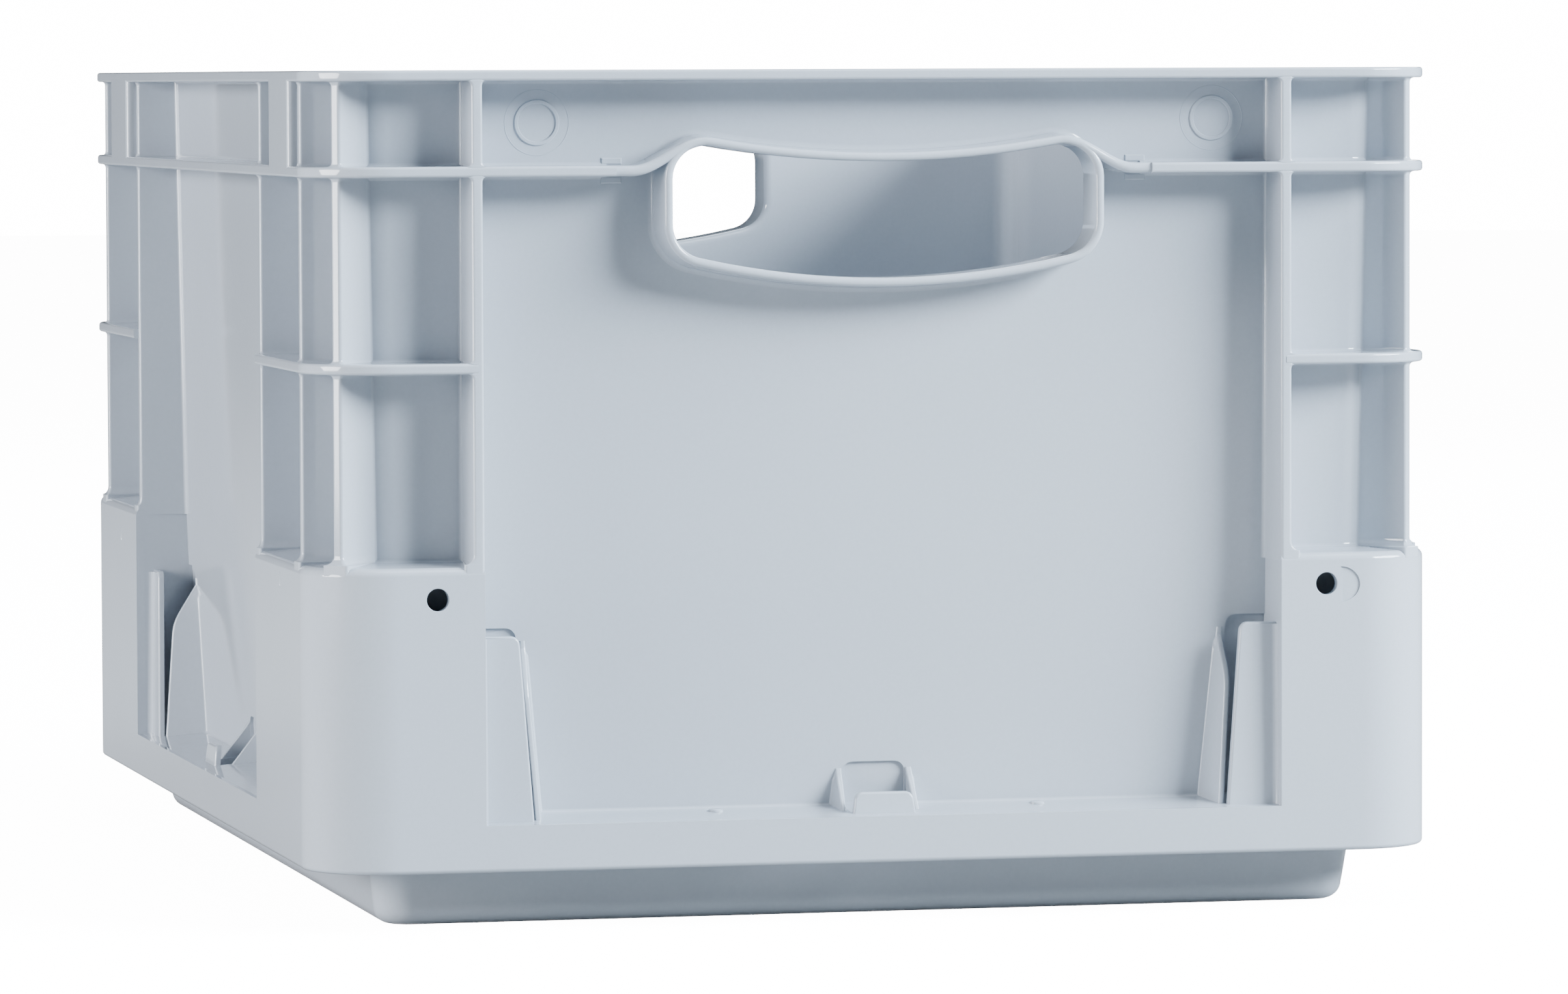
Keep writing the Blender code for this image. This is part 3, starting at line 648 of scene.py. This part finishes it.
def build_tub():
    """The tub as one hollow mesh, cut into floor, walls, corners and rim where the CAD is cut."""
    tub = sweep(all_round(), tub_section(), closed=True, capped=True)
    outline = grip_outline(COLLAR)
    reach = 40 * MM
    cutters = []
    for sy in (-1, 1):
        cutters.append(rings([[(x, sy * (HALF_Y + reach), z) for x, z in outline],
                              [(x, sy * (HALF_Y - reach), z) for x, z in outline]]))
    face_x = HALF_X - BLOCK_X
    face_y = HALF_Y - BLOCK_Y
    for sx, sy in ((1, 1), (1, -1), (-1, 1), (-1, -1)):
        cutters.append(reflected(pocket_cutter(clip_pocket(-face_x), end_place), sx, sy))
        cutters.append(reflected(pocket_cutter(clip_pocket(-face_y), side_place), sx, sy))
    for sign in (1, -1):
        cutters.append(reflected(pocket_cutter(centre_pocket(), end_place), 1, sign))
        cutters.append(reflected(pocket_cutter(centre_pocket(), side_place), sign, 1))
    tub = carved(tub, joined(*cutters))
    below = ((0, 0, WALL_FOOT), (0, 0, 1))
    above = ((0, 0, WALL_FOOT), (0, 0, -1))
    under_rim = ((0, 0, RIM_CUT), (0, 0, 1))
    show(trimmed(tub, [below]), "floor_tray")
    show(trimmed(tub, [((0, 0, RIM_CUT), (0, 0, -1))]), "top_rim")
    walls = [above, under_rim]
    within_x = [((FLAT_X, 0, 0), (1, 0, 0)), ((-FLAT_X, 0, 0), (-1, 0, 0))]
    within_y = [((0, FLAT_Y, 0), (0, 1, 0)), ((0, -FLAT_Y, 0), (0, -1, 0))]
    for name, sy in (("front", -1), ("rear", 1)):
        wall = trimmed(tub, walls + within_x + [((0, 0, 0), (0, -sy, 0))])
        marks = [reflected(mark, sy, -sy) for mark in wall_marks()]
        show(joined(wall, *marks), name + "_end_wall")
    for name, sx in (("left", -1), ("right", 1)):
        show(trimmed(tub, walls + within_y + [((0, 0, 0), (-sx, 0, 0))]), name + "_long_wall")
    for name, sx, sy in QUARTERS:
        corner = [((-sx * FLAT_X, 0, 0), (sx, 0, 0)), ((0, -sy * FLAT_Y, 0), (0, sy, 0))]
        show(trimmed(tub, walls + corner), name + "_corner_wall")
    tub.free()


# ---------------------------------------------------------------- shelves and ribs

def shelf_section(z0):
    """Shelf with a rounded free edge and a fillet above and below where it meets the tub."""
    z1 = z0 + SHELF
    top = inset_at(z1)
    bottom = inset_at(z0)
    points = arc(EDGE, z0 + EDGE, EDGE, 270, 180)
    points += arc(EDGE, z1 - EDGE, EDGE, 180, 90)
    points += arc(top - FILLET, z1 + FILLET, FILLET, 270, 360)
    points += [(top + SINK, z1 + FILLET), (bottom + SINK, z0 - FILLET)]
    return points + arc(bottom - FILLET, z0 - FILLET, FILLET, 0, 90)


def build_shelves():
    """Lower shelves round the corners, and the upper shelves, each round one side."""
    x_end = -HALF_X + BLOCK_X - RIB / 2
    y_end = -HALF_Y + BLOCK_Y - RIB / 2
    show_copies(sweep(quarter(x_end, y_end), shelf_section(LOWER_SHELF)), four("lower_shelf"))
    front = quarter(-WING_END, 0)[:-1]
    rear = [("end", 1, -WING_END), ("end", 1, -FLAT_X)] + turn(-1, 1) + [("side", -1, FLAT_Y)]
    side = sweep(front + rear[::-1], shelf_section(UPPER_SHELF))
    show_copies(side, sides("upper_shelf"))


def swell(gap, size):
    """What a fillet of a size adds at a gap from the face it springs from."""
    inside = size - min(gap, size)
    return size - math.sqrt(size ** 2 - inside ** 2)


def flare(z, plates):
    """Extra half width of a rib near the plates it meets; the fillet is larger on the corner block."""
    extra = [swell(abs(z - level), SHELF_FILLET) for level in plates if level != BLOCK_TOP]
    if BLOCK_TOP in plates:
        extra.append(swell(max(0, z - BLOCK_TOP), BLOCK_FILLET))
    return max(extra)


def rib_levels(plates):
    """Heights at which a rib's section is taken: closer together near each plate."""
    levels = set()
    for level in plates:
        for step in SHELF_STEPS:
            levels.add(round(level + step * MM, 7))
            levels.add(round(level - step * MM, 7))
    for step in BLOCK_STEPS:
        levels.add(round(BLOCK_TOP + step * MM, 7))
    low = LIP_START + 0.2 * MM
    high = RIM_UNDER + 1.2 * MM
    return [low] + sorted(z for z in levels if low < z < high) + [high]


def rib(origin, inward, depth_at, plates, inset=RIB_INSET, wall_r=None):
    """An upright rib: origin on the envelope, inward a plan direction, plates a pair of level lists.

    inset is how far its front stands inside the envelope. wall_r is the plan radius of the
    wall that it stands on, where that is round.
    """
    inward = Vector(inward).normalized()
    aside = Vector((-inward.y, inward.x, 0))
    origin = Vector(origin)
    half = RIB / 2
    base = half + RIB_SPREAD
    away = wall_r - math.sqrt(wall_r ** 2 - (base + FILLET) ** 2) if wall_r else 0
    loops = []
    for z in rib_levels(sorted(set(plates[0] + plates[1]))):
        extra = [flare(z, side) for side in plates]
        forward = max(SHELF_NOSE * min(extra), BLOCK_NOSE * swell(max(0, z - BLOCK_TOP), BLOCK_FILLET))
        nose = max(inset - forward, FLUSH)
        left = [(x, y - extra[0]) for x, y in arc(nose + EDGE, -half + EDGE, EDGE, 270, 180)]
        right = [(x, y + extra[1]) for x, y in arc(nose + EDGE, half - EDGE, EDGE, 180, 90)]
        foot = depth_at(z) + away
        right += arc(foot - FILLET, base + FILLET, FILLET, 270, 360)
        back = [(foot + SINK, base + FILLET), (foot + SINK, -base - FILLET)]
        back += arc(foot - FILLET, -base - FILLET, FILLET, 0, 90)
        section = left + right + back
        loops.append([origin + inward * d + aside * s + Vector((0, 0, z)) for d, s in section])
    return rings(loops)


def build_ribs():
    """The five upright ribs of a corner, each repeated at the other corners."""
    top = [RIM_UNDER, UPPER_SHELF, UPPER_SHELF + SHELF]
    shelf = [LOWER_SHELF, LOWER_SHELF + SHELF, BLOCK_TOP]
    plain = [BLOCK_TOP - 9 * MM]
    place = (-HALF_X + BLOCK_X - RIB / 2, -HALF_Y, 0)
    main = rib(place, (0, 1, 0), inset_at, (top + plain, top + shelf), FLUSH)
    show_copies(main, four("end_rib"))
    place = (-HALF_X, -HALF_Y + RIB_A_Y, 0)
    first = rib(place, (1, 0, 0), inset_at, (top + shelf, top + shelf))
    show_copies(first, four("corner_side_rib"))
    place = (-HALF_X, -HALF_Y + BLOCK_Y - RIB / 2, 0)
    second = rib(place, (1, 0, 0), inset_at, (top + shelf, top + plain))
    show_copies(second, four("recess_side_rib"))
    setback = CORNER_R * (1 - DIAGONAL)
    place = (-HALF_X + setback, -HALF_Y + setback, 0)

    def corner_depth(z):
        return (inset_at(z) + (TUB_R - CORNER_R) * (1 - DIAGONAL)) / DIAGONAL
    diagonal = rib(place, (1, 1, 0), corner_depth, (top + shelf, top + shelf), wall_r=TUB_R)
    show_copies(diagonal, four("diagonal_rib"))


def build_plates():
    """Flush plates in the top row of the long walls, alike after half a turn."""
    z0 = UPPER_SHELF + SHELF / 2
    z1 = RIM_UNDER + SHELF / 2
    spans = [("front_left_top_row_plate", "rear_right_top_row_plate", FRONT_PLATE),
             ("rear_left_top_row_plate", "front_right_top_row_plate", REAR_PLATE)]
    for name, opposite, (y0, y1) in spans:
        r = PLATE_R
        face = r + 0.03 * MM
        section = arc(face, y0 - HALF_Y + r, r, 270, 180) + arc(face, y1 - HALF_Y - r, r, 180, 90)
        section += [(PLATE, y1 - HALF_Y), (PLATE, y0 - HALF_Y)]
        solid = rings([[side_place(y, depth, z) for depth, y in section] for z in (z0, z1)])
        show_copies(solid, [(name, 1, 1), (opposite, -1, -1)])


# ---------------------------------------------------------------- grip collars

def outline_normals(points):
    """Outward unit normals of a closed anticlockwise outline."""
    count = len(points)
    normals = []
    for i in range(count):
        before = Vector(points[i - 1])
        after = Vector(points[(i + 1) % count])
        along = (after - before).normalized()
        normals.append(Vector((along.y, -along.x)))
    return normals


def collar_ring():
    """Ring round the grip: rounded front lip, outside filleted to the wall, inside through the wall."""
    inner = grip_outline()
    normals = outline_normals(inner)
    lip = COLLAR / 2
    front = COLLAR_INSET
    side = COLLAR + COLLAR_SPREAD

    def loop(offset, depth_rule):
        points = []
        for (x, z), n in zip(inner, normals):
            px = x + n.x * offset
            pz = z + n.y * offset
            points.append(end_place(px, depth_rule(pz), pz))
        return points
    loops = []
    for u, d in arc(lip, front + lip, lip, 180, 360, 8):
        loops.append(loop(u, lambda z, d=d: d))
    fillet = COLLAR_FILLET
    for u, d in arc(side + fillet, -fillet, fillet, 180, 90, 4):
        loops.append(loop(u, lambda z, d=d: inset_at(z) + d))
    loops.append(loop(side + fillet, lambda z: inset_at(z) + SINK))
    loops.append(loop(COLLAR, lambda z: inset_at(z) + SINK))
    loops.append(loop(COLLAR, lambda z: inset_at(z) + WALL))
    soft = COLLAR_INNER_R
    for u, d in arc(soft, -soft, soft, 90, 180, 6):
        loops.append(loop(u, lambda z, d=d: inset_at(z) + WALL + d))
    return rings(loops, closed=True)


def wing(sign):
    """Strip that carries the shelf up in an S-curve to the top corner of the collar."""
    low = UPPER_SHELF + SHELF / 2
    peak_x = GRIP_HALF - GRIP_TOP_R
    peak_z = max(z for _, z in grip_outline(COLLAR)) - COLLAR / 2
    path = [(-WING_END - 0.5 * MM, low, SHELF / 2)]
    steps = 20
    for i in range(steps + 1):
        t = i / steps
        x = -WING_BEND + (WING_BEND - peak_x) * t
        z = low + (peak_z - low) * (3 - 2 * t) * t * t
        path.append((x, z, (SHELF + (COLLAR - SHELF) * t) / 2))
    loops = []
    for i, (x, z, half) in enumerate(path):
        before = path[max(i - 1, 0)]
        after = path[min(i + 1, len(path) - 1)]
        along = Vector((after[0] - before[0], after[1] - before[1])).normalized()
        normal = Vector((-along.y, along.x))
        nose = COLLAR_INSET
        round_off = half - 0.05 * MM
        section = arc(nose + round_off, half - round_off, round_off, 90, 180, 5)
        section += arc(nose + round_off, -half + round_off, round_off, 180, 270, 5)
        section += [(None, -half), (None, half)]
        loop = []
        for depth, offset in section:
            px = sign * (x + normal.x * offset)
            pz = z + normal.y * offset
            loop.append(end_place(px, inset_at(pz) + SINK if depth is None else depth, pz))
        loops.append(loop)
    return rings(loops)


def build_collars():
    """A collar round each hand grip, with its two wings."""
    show_copies(joined(collar_ring(), wing(1), wing(-1)), ends("grip_collar"))


# ---------------------------------------------------------------- skirt

def skirt_section():
    """Skin with a rounded lip, and the ledge that ties it to the tub."""
    wall = inset_at(BLOCK_TOP)
    points = arc(LOWER_EDGE, SKIRT_BOTTOM + LOWER_EDGE, LOWER_EDGE, 270, 180)
    points += arc(LIP_R, LIP_START, LIP_R, 180, 90, 6)
    points += arc(wall - FILLET, BLOCK_TOP + FILLET, FILLET, 270, 360)
    points += [(wall + SINK, BLOCK_TOP + FILLET), (wall + SINK, BLOCK_TOP - SKIN)]
    points += [(SKIN + 1 * MM, LIP_START - 0.2 * MM), (SKIN, LIP_START - 1.2 * MM)]
    return points + [(SKIN, SKIRT_BOTTOM + 0.3 * MM), (SKIN - 0.3 * MM, SKIRT_BOTTOM)]


def on_recess_outline(p):
    """True for a point on the outline of a recess cut in the skirt, on its outer face or ledge."""
    reach = inset_at(BLOCK_TOP) - FILLET
    end = abs(abs(p.x) - HALF_X + BLOCK_X) < TINY and HALF_Y - abs(p.y) < reach
    side = abs(abs(p.y) - HALF_Y + BLOCK_Y) < TINY and HALF_X - abs(p.x) < reach
    outer = abs(p.x) > HALF_X - TINY or abs(p.y) > HALF_Y - TINY
    if outer and abs(p.z - BAND_LIP) < TINY:
        return True
    return (end or side) and (outer or p.z > LIP_START - TINY)


def build_skirt():
    """The skirt's skin with its recesses, cut into corner blocks and low bands."""
    skirt = sweep(all_round(), skirt_section(), closed=True)
    deep = 30 * MM
    high = BLOCK_TOP + 10 * MM
    face_x = HALF_X - BLOCK_X
    face_y = HALF_Y - BLOCK_Y
    cutters = []
    for sign in (-1, 1):
        across = sorted((sign * (HALF_Y - deep), sign * (HALF_Y + deep)))
        cutters.append(block((-face_x, face_x), across, (BAND_LIP, high)))
        across = sorted((sign * (HALF_X - deep), sign * (HALF_X + deep)))
        cutters.append(block(across, (-face_y, face_y), (BAND_LIP, high)))
    skirt = carved(skirt, joined(*cutters))
    skirt = soften(skirt, RECESS_EDGE, 3, on_recess_outline)
    seam = 1.6 * MM
    cut_x = face_x - seam
    cut_y = face_y - seam
    for name, sx, sy in QUARTERS:
        corner = trimmed(skirt, [((-sx * cut_x, 0, 0), (sx, 0, 0)), ((0, -sy * cut_y, 0), (0, sy, 0))])
        corner = drilled(corner, sx, sy)
        plates = [reflected(end_plate(end_place, -face_x), sx, sy),
                  reflected(end_plate(side_place, -face_y), sx, sy)]
        show(joined(corner, *plates), name + "_corner_block")
    for name, sy in (("front", -1), ("rear", 1)):
        skin = trimmed(skirt, [((cut_x, 0, 0), (1, 0, 0)), ((-cut_x, 0, 0), (-1, 0, 0)),
                               ((0, sy * deep, 0), (0, -sy, 0))])
        bumps = [reflected(bump(u), 1, -sy) for u in (-BUMP_X, BUMP_X)]
        show(joined(skin, reflected(ledge(end_place, face_x), 1, -sy), *bumps), name + "_band")
    for name, sx in (("left", -1), ("right", 1)):
        skin = trimmed(skirt, [((0, cut_y, 0), (0, 1, 0)), ((0, -cut_y, 0), (0, -1, 0)),
                               ((sx * deep, 0, 0), (-sx, 0, 0))])
        show(joined(skin, reflected(ledge(side_place, face_y), -sx, 1)), name + "_band")
    skirt.free()


def end_plate(place, face):
    """End wall of a corner block, just inside the cut face of the skin."""
    low = SKIRT_BOTTOM + 0.1 * MM
    front = RECESS_EDGE + 0.1 * MM
    outline = [(front, low), (front, LIP_START - MM),
               (LIP_R + MM, BLOCK_TOP - 1.5 * MM), (inset_at(BLOCK_TOP) + SINK, BLOCK_TOP - 0.6 * MM),
               (inset_at(low) + SINK, low)]
    near = face - TINY
    far = face - RIB
    return rings([[place(u, depth, z) for depth, z in outline] for u in (far, near)])


def drilled(bm, sx, sy):
    """Cuts the small round hole in a block's end face, with a softened mouth."""
    x = -sx * (HALF_X - DRAIN_X)
    steps = 40
    loops = []
    for y in (-sy * (HALF_Y + 5 * MM), -sy * (HALF_Y - 8 * MM)):
        circle = [(x + DRAIN_R * math.cos(a), y, DRAIN_Z + DRAIN_R * math.sin(a))
                  for a in (2 * math.pi * i / steps for i in range(steps))]
        loops.append(circle)
    bm = carved(bm, rings(loops))
    if (sx, sy) == (-1, 1):
        bm = carved(bm, half_disc())
    bm = carved(bm, gate_dent(sx, sy))

    def mouth(p):
        near = abs(math.hypot(p.x - x, p.z - DRAIN_Z) - DRAIN_R) < TINY
        return near and abs(p.y) > HALF_Y - TINY
    return soften(bm, DRAIN_SOFT, 3, mouth)


def half_disc():
    """Cutter for the shallow half disc beside the hole of the front right block."""
    (x0, x1), (z0, z1) = HALF_DISC, HALF_DISC_Z
    tall = (z1 - z0) / 2
    middle = (z0 + z1) / 2
    steps = 24
    angles = [math.pi * (i / steps - 0.5) for i in range(steps + 1)]
    loops = []
    for y in (-HALF_Y - MM, -HALF_Y + MARK_DEPTH):
        loops.append([(x0 + (x1 - x0) * math.cos(a), y, middle + tall * math.sin(a)) for a in angles])
    return rings(loops)


def gate_dent(sx, sy):
    """Cutter for the small upright dent on a block's side, drawn out to a point at its top."""
    from_end, mid = GATES[sx * sy]
    y = -sy * (HALF_Y - from_end)
    outline = arc(0, mid - 1.5 * MM, 0.7 * MM, 180, 360, 8)
    outline += [(0.25 * MM, mid + 1.2 * MM), (0, mid + 2.2 * MM), (-0.25 * MM, mid + 1.2 * MM)]
    loops = []
    for grow, x in ((1.6, HALF_X + 0.3 * MM), (0.5, HALF_X - MARK_DEPTH)):
        loops.append([(-sx * x, y + u * grow, z) for u, z in outline])
    return rings(loops)


def bump(u):
    """Low round ejector bump on the ledge of an end band."""
    steps = 20
    angles = [2 * math.pi * i / steps for i in range(steps)]
    loops = []
    for radius, rise in BUMP_RINGS:
        z = BAND_TOP - BUMP_SINK + rise
        loops.append([end_place(u + radius * math.cos(a), BUMP_DEPTH + radius * math.sin(a), z)
                      for a in angles])
    return rings(loops)


def ledge(place, face):
    """Ledge of a low band, open behind each label clip."""
    wall = inset_at(BAND_TOP)
    front = RECESS_EDGE + 0.25 * MM
    section = [(front, BAND_LIP - TINY)]
    section += arc(wall - FILLET, BAND_TOP + FILLET, FILLET, 270, 360)
    section += [(wall + SINK, BAND_TOP + FILLET), (wall + SINK, BAND_TOP - 2 * MM),
                (front, BAND_LIP - 2 * MM)]
    half = face + 0.05 * MM
    solid = rings([[place(u, depth, z) for depth, z in section] for u in (-half, half)])
    back = TAB_INSET + TAB
    reach = tab_reach(BAND_TOP) + WEB_GAP
    half_tab = CENTRE_TAB_HALF[0]
    beyond = wall + 0.2 * MM
    levels = (BAND_LIP - 5 * MM, BAND_TOP + 5 * MM)
    openings = []
    for u0, u1 in ((-face - MM, -face + reach), (face - reach, face + MM), (-half_tab, half_tab)):
        plan = [(u0, back), (u1, back), (u1, beyond), (u0, beyond)]
        openings.append(rings([[place(u, d, z) for u, d in plan] for z in levels]))
    return carved(solid, joined(*openings))


# ---------------------------------------------------------------- label clips

def tab(outline, place):
    """Upright tab with rounded front edges, leaning in a little towards its top."""
    high = max(z for _, z in outline)

    def set_down(u, depth, z):
        lean = TAB_LEAN * (z - CLIP_FOOT) / (high - CLIP_FOOT)
        return place(u, TAB_INSET + depth + lean, z)
    soft = 0.6 * MM
    loops = []
    for inward, depth in ((soft, 0), (soft * 0.62, 0.08 * MM), (soft * 0.24, 0.3 * MM), (0, soft), (0, TAB)):
        shrunk = [shift_in(outline, i, inward) for i in range(len(outline))]
        loops.append([set_down(u, depth, z) for u, z in shrunk])
    return rings(loops)


def shift_in(outline, index, amount):
    """A point of a closed outline moved inward along the mean of its two edge normals."""
    count = len(outline)
    point = Vector(outline[index])
    before = (point - Vector(outline[index - 1])).normalized()
    after = (Vector(outline[(index + 1) % count]) - point).normalized()
    normal = Vector((-before.y - after.y, before.x + after.x)).normalized()
    area = sum(outline[i][0] * outline[(i + 1) % count][1] - outline[(i + 1) % count][0] * outline[i][1]
               for i in range(count))
    stretch = amount / max(0.5, normal.dot(Vector((-before.y, before.x))))
    return point + normal * stretch * (1 if area > 0 else -1)


def web_depth(z):
    """Depth of a label clip's web at its front edge: upright, then sloping back to the wall."""
    foot = WEB_DEPTH + WEB_LEAN * (z - CLIP_FOOT)
    if z < WEB_SHOULDER - WEB_BEND:
        return foot
    extra = WEB_SLOPE - WEB_LEAN
    if z < WEB_SHOULDER + WEB_BEND:
        return foot + extra * (z - WEB_SHOULDER + WEB_BEND) ** 2 / (4 * WEB_BEND)
    return foot + extra * (z - WEB_SHOULDER)


def web_section(front, back, depth, wall):
    """Plan section (u, depth) of a web from its rounded front edge to inside the wall."""
    r = 0.5 * MM
    points = arc(front[0] + r, depth + r, r, 180, 270, 3)
    points += arc(front[1] - r, depth + r, r, 270, 360, 3)
    side = wall - 0.5 * MM
    if side > depth + 2 * r:
        points += [(back[1], side), (back[1] + 0.5 * MM, wall + 0.05 * MM)]
    else:
        points += [(front[1], depth + 1.2 * r), (front[1], depth + 1.3 * r)]
    return points + [(back[1] + 0.3 * MM, wall + SINK), (back[0], wall + SINK)]


def label_web(place, face):
    """Web beside a label tab, tied to the wall and the ledge."""
    steps = 24
    low = BAND_LIP - MM
    loops = []
    for i in range(steps + 1):
        z = low + (WEB_TOP - low) * i / steps
        inner = tab_reach(z) + WEB_GAP
        outer = WEB_WALL_REACH - WEB_WALL_TAPER * (z - CLIP_FOOT)
        wall = inset_at(z)
        depth = min(web_depth(z), wall - 0.3 * MM)
        line = WEB_DEPTH + WEB_LEAN * (z - CLIP_FOOT)
        share = max(0, (depth - line) / (wall - line))
        near = inner + WEB_THICK + (outer - inner - WEB_THICK) * share
        section = web_section((near - WEB_THICK, near), (inner + 0.4 * MM, outer), depth, wall)
        loops.append([place(face + u, d, z) for u, d in section])
    return rings(loops)


def corner_fillet(place, face):
    """Fillet between a label tab's front and the block's face beside it."""
    r = TAB_FILLET
    loops = []
    for z, lean in ((CLIP_FOOT, 0.0), (TAB_TOP - 0.6 * MM, TAB_LEAN)):
        depth = TAB_INSET + lean
        inside = depth + 0.5 * MM
        section = arc(r, depth - r, r, 180, 90, 5)
        section += [(r, inside), (-0.4 * MM, inside), (-0.4 * MM, depth - r)]
        loops.append([place(face + u, d, z) for u, d in section])
    return rings(loops)


def side_clip(place, face):
    """Tab and backing web beside a block."""
    low = BAND_LIP - MM
    top = TAB_TOP - TAB_TOP_R
    outline = [(-0.6 * MM, low), (tab_reach(low), low), (tab_reach(top), top)]
    outline += arc(tab_reach(top) - TAB_TOP_R, top, TAB_TOP_R, 0, 90, 6)[1:]
    outline += [(-0.6 * MM, TAB_TOP)]
    tab_solid = tab([(face + u, z) for u, z in outline], place)
    return joined(tab_solid, label_web(place, face), corner_fillet(place, face))


def centre_web(place, sign):
    """Triangular web beside the centre tab."""
    low = BAND_LIP - MM
    top = CENTRE_APEX + 0.6 * MM
    steps = 8
    loops = []
    for i in range(steps + 1):
        t = i / steps
        z = low + (top - low) * t
        front = [a + (b - a) * t for a, b in zip(CENTRE_WEB_FRONT, CENTRE_WEB_APEX)]
        back = [a + (b - a) * t for a, b in zip(CENTRE_WEB_WALL, CENTRE_WEB_APEX)]
        wall = inset_at(z)
        depth = min(CENTRE_WEB_DEPTH + (inset_at(top) - CENTRE_WEB_DEPTH) * t, wall - 0.3 * MM)
        loops.append([place(sign * u, d, z) for u, d in web_section(front, back, depth, wall)])
    return rings(loops)


def centre_clip(place):
    """Low tab at the middle of a wall, between two triangular webs."""
    base, top_half = CENTRE_TAB_HALF
    r = 2.2 * MM
    top = CENTRE_TAB_TOP - r
    outline = [(-base, BAND_LIP - MM), (base, BAND_LIP - MM)]
    outline += arc(top_half - r, top, r, 5, 90, 5) + arc(-top_half + r, top, r, 90, 175, 5)
    return joined(tab(outline, place), centre_web(place, 1), centre_web(place, -1))


def build_clips():
    """Label clips beside the blocks and at the middle of each wall."""
    show_copies(side_clip(end_place, -HALF_X + BLOCK_X), four("end_label_clip"))
    show_copies(side_clip(side_place, -HALF_Y + BLOCK_Y), four("side_label_clip"))
    show_copies(centre_clip(end_place), ends("centre_clip"))
    show_copies(centre_clip(side_place), sides("centre_clip"))


# ---------------------------------------------------------------- studio

def paper():
    """Matt paper that looks lighter than the light it throws back, so that shadows keep their depth."""
    material = bpy.data.materials.new("pale_paper")
    material.use_nodes = True
    nodes = material.node_tree.nodes
    links = material.node_tree.links
    nodes.clear()
    output = nodes.new("ShaderNodeOutputMaterial")
    choice = nodes.new("ShaderNodeMixShader")
    ray = nodes.new("ShaderNodeLightPath")
    seen = nodes.new("ShaderNodeAddShader")
    pale = nodes.new("ShaderNodeBsdfDiffuse")
    pale.inputs["Color"].default_value = (PAPER_SEEN, PAPER_SEEN, PAPER_SEEN, 1)
    lift = nodes.new("ShaderNodeEmission")
    lift.inputs["Strength"].default_value = PAPER_GLOW
    dim = nodes.new("ShaderNodeBsdfDiffuse")
    dim.inputs["Color"].default_value = (PAPER_REST, PAPER_REST, PAPER_REST, 1)
    links.new(pale.outputs["BSDF"], seen.inputs[0])
    links.new(lift.outputs["Emission"], seen.inputs[1])
    links.new(ray.outputs["Is Camera Ray"], choice.inputs["Fac"])
    links.new(dim.outputs["BSDF"], choice.inputs[1])
    links.new(seen.outputs["Shader"], choice.inputs[2])
    links.new(choice.outputs["Shader"], output.inputs["Surface"])
    return material


def build_stage():
    """Wide round floor of pale paper."""
    bm = bmesh.new()
    bmesh.ops.create_circle(bm, cap_ends=True, radius=STAGE_RADIUS, segments=96)
    mesh = bpy.data.meshes.new("studio_floor")
    bm.to_mesh(mesh)
    bm.free()
    mesh.materials.append(paper())
    floor = bpy.data.objects.new("studio_floor", mesh)
    bpy.context.scene.collection.objects.link(floor)
    floor.location.z = -STAGE_DROP


def area_light(name, bearing, height, size, power, colour):
    """Soft panel aimed at the crate, hidden from the camera."""
    data = bpy.data.lights.new(name, "AREA")
    data.shape = "ELLIPSE"
    data.size, data.size_y = size
    data.energy = power
    data.color = colour
    lamp = bpy.data.objects.new(name, data)
    bpy.context.scene.collection.objects.link(lamp)
    lamp.visible_camera = False
    turned = math.radians(bearing)
    raised = math.radians(height)
    out = math.cos(raised)
    away = Vector((math.sin(turned) * out, -math.cos(turned) * out, math.sin(raised)))
    lamp.location = Vector((0, 0, HEIGHT / 2)) + away * LAMP_DISTANCE
    lamp.rotation_euler = away.to_track_quat("Z", "Y").to_euler()


def build_lights():
    """The five soft lamps."""
    for lamp in LAMPS:
        area_light(*lamp)


def build_surroundings():
    """White all round as the camera sees it, and a dimmer even light as the crate sees it."""
    world = bpy.data.worlds.new("studio")
    bpy.context.scene.world = world
    world.use_nodes = True
    nodes = world.node_tree.nodes
    links = world.node_tree.links
    soft = nodes["Background"]
    soft.inputs["Color"].default_value = WORLD_COLOUR
    soft.inputs["Strength"].default_value = WORLD_REST
    white = nodes.new("ShaderNodeBackground")
    white.inputs["Strength"].default_value = WORLD_SEEN
    ray = nodes.new("ShaderNodeLightPath")
    choice = nodes.new("ShaderNodeMixShader")
    links.new(ray.outputs["Is Camera Ray"], choice.inputs["Fac"])
    links.new(soft.outputs["Background"], choice.inputs[1])
    links.new(white.outputs["Background"], choice.inputs[2])
    links.new(choice.outputs["Shader"], nodes["World Output"].inputs["Surface"])


def build_camera():
    """Long lens at rim height, in front and to the left."""
    data = bpy.data.cameras.new("camera")
    data.sensor_width = SENSOR
    data.lens = LENS
    camera = bpy.data.objects.new("camera", data)
    bpy.context.scene.collection.objects.link(camera)
    yaw = math.radians(YAW)
    pitch = math.radians(PITCH)
    ahead = Vector((math.sin(yaw) * math.cos(pitch), math.cos(yaw) * math.cos(pitch), -math.sin(pitch)))
    turn_to = ahead.to_track_quat("-Z", "Y").to_matrix()
    camera.rotation_euler = (turn_to @ Matrix.Rotation(math.radians(ROLL), 3, "Z")).to_euler()
    camera.location = CAMERA_PLACE
    bpy.context.scene.camera = camera


build_camera()
build_tub()
build_shelves()
build_ribs()
build_plates()
build_collars()
build_skirt()
build_clips()
build_stage()
build_lights()
build_surroundings()
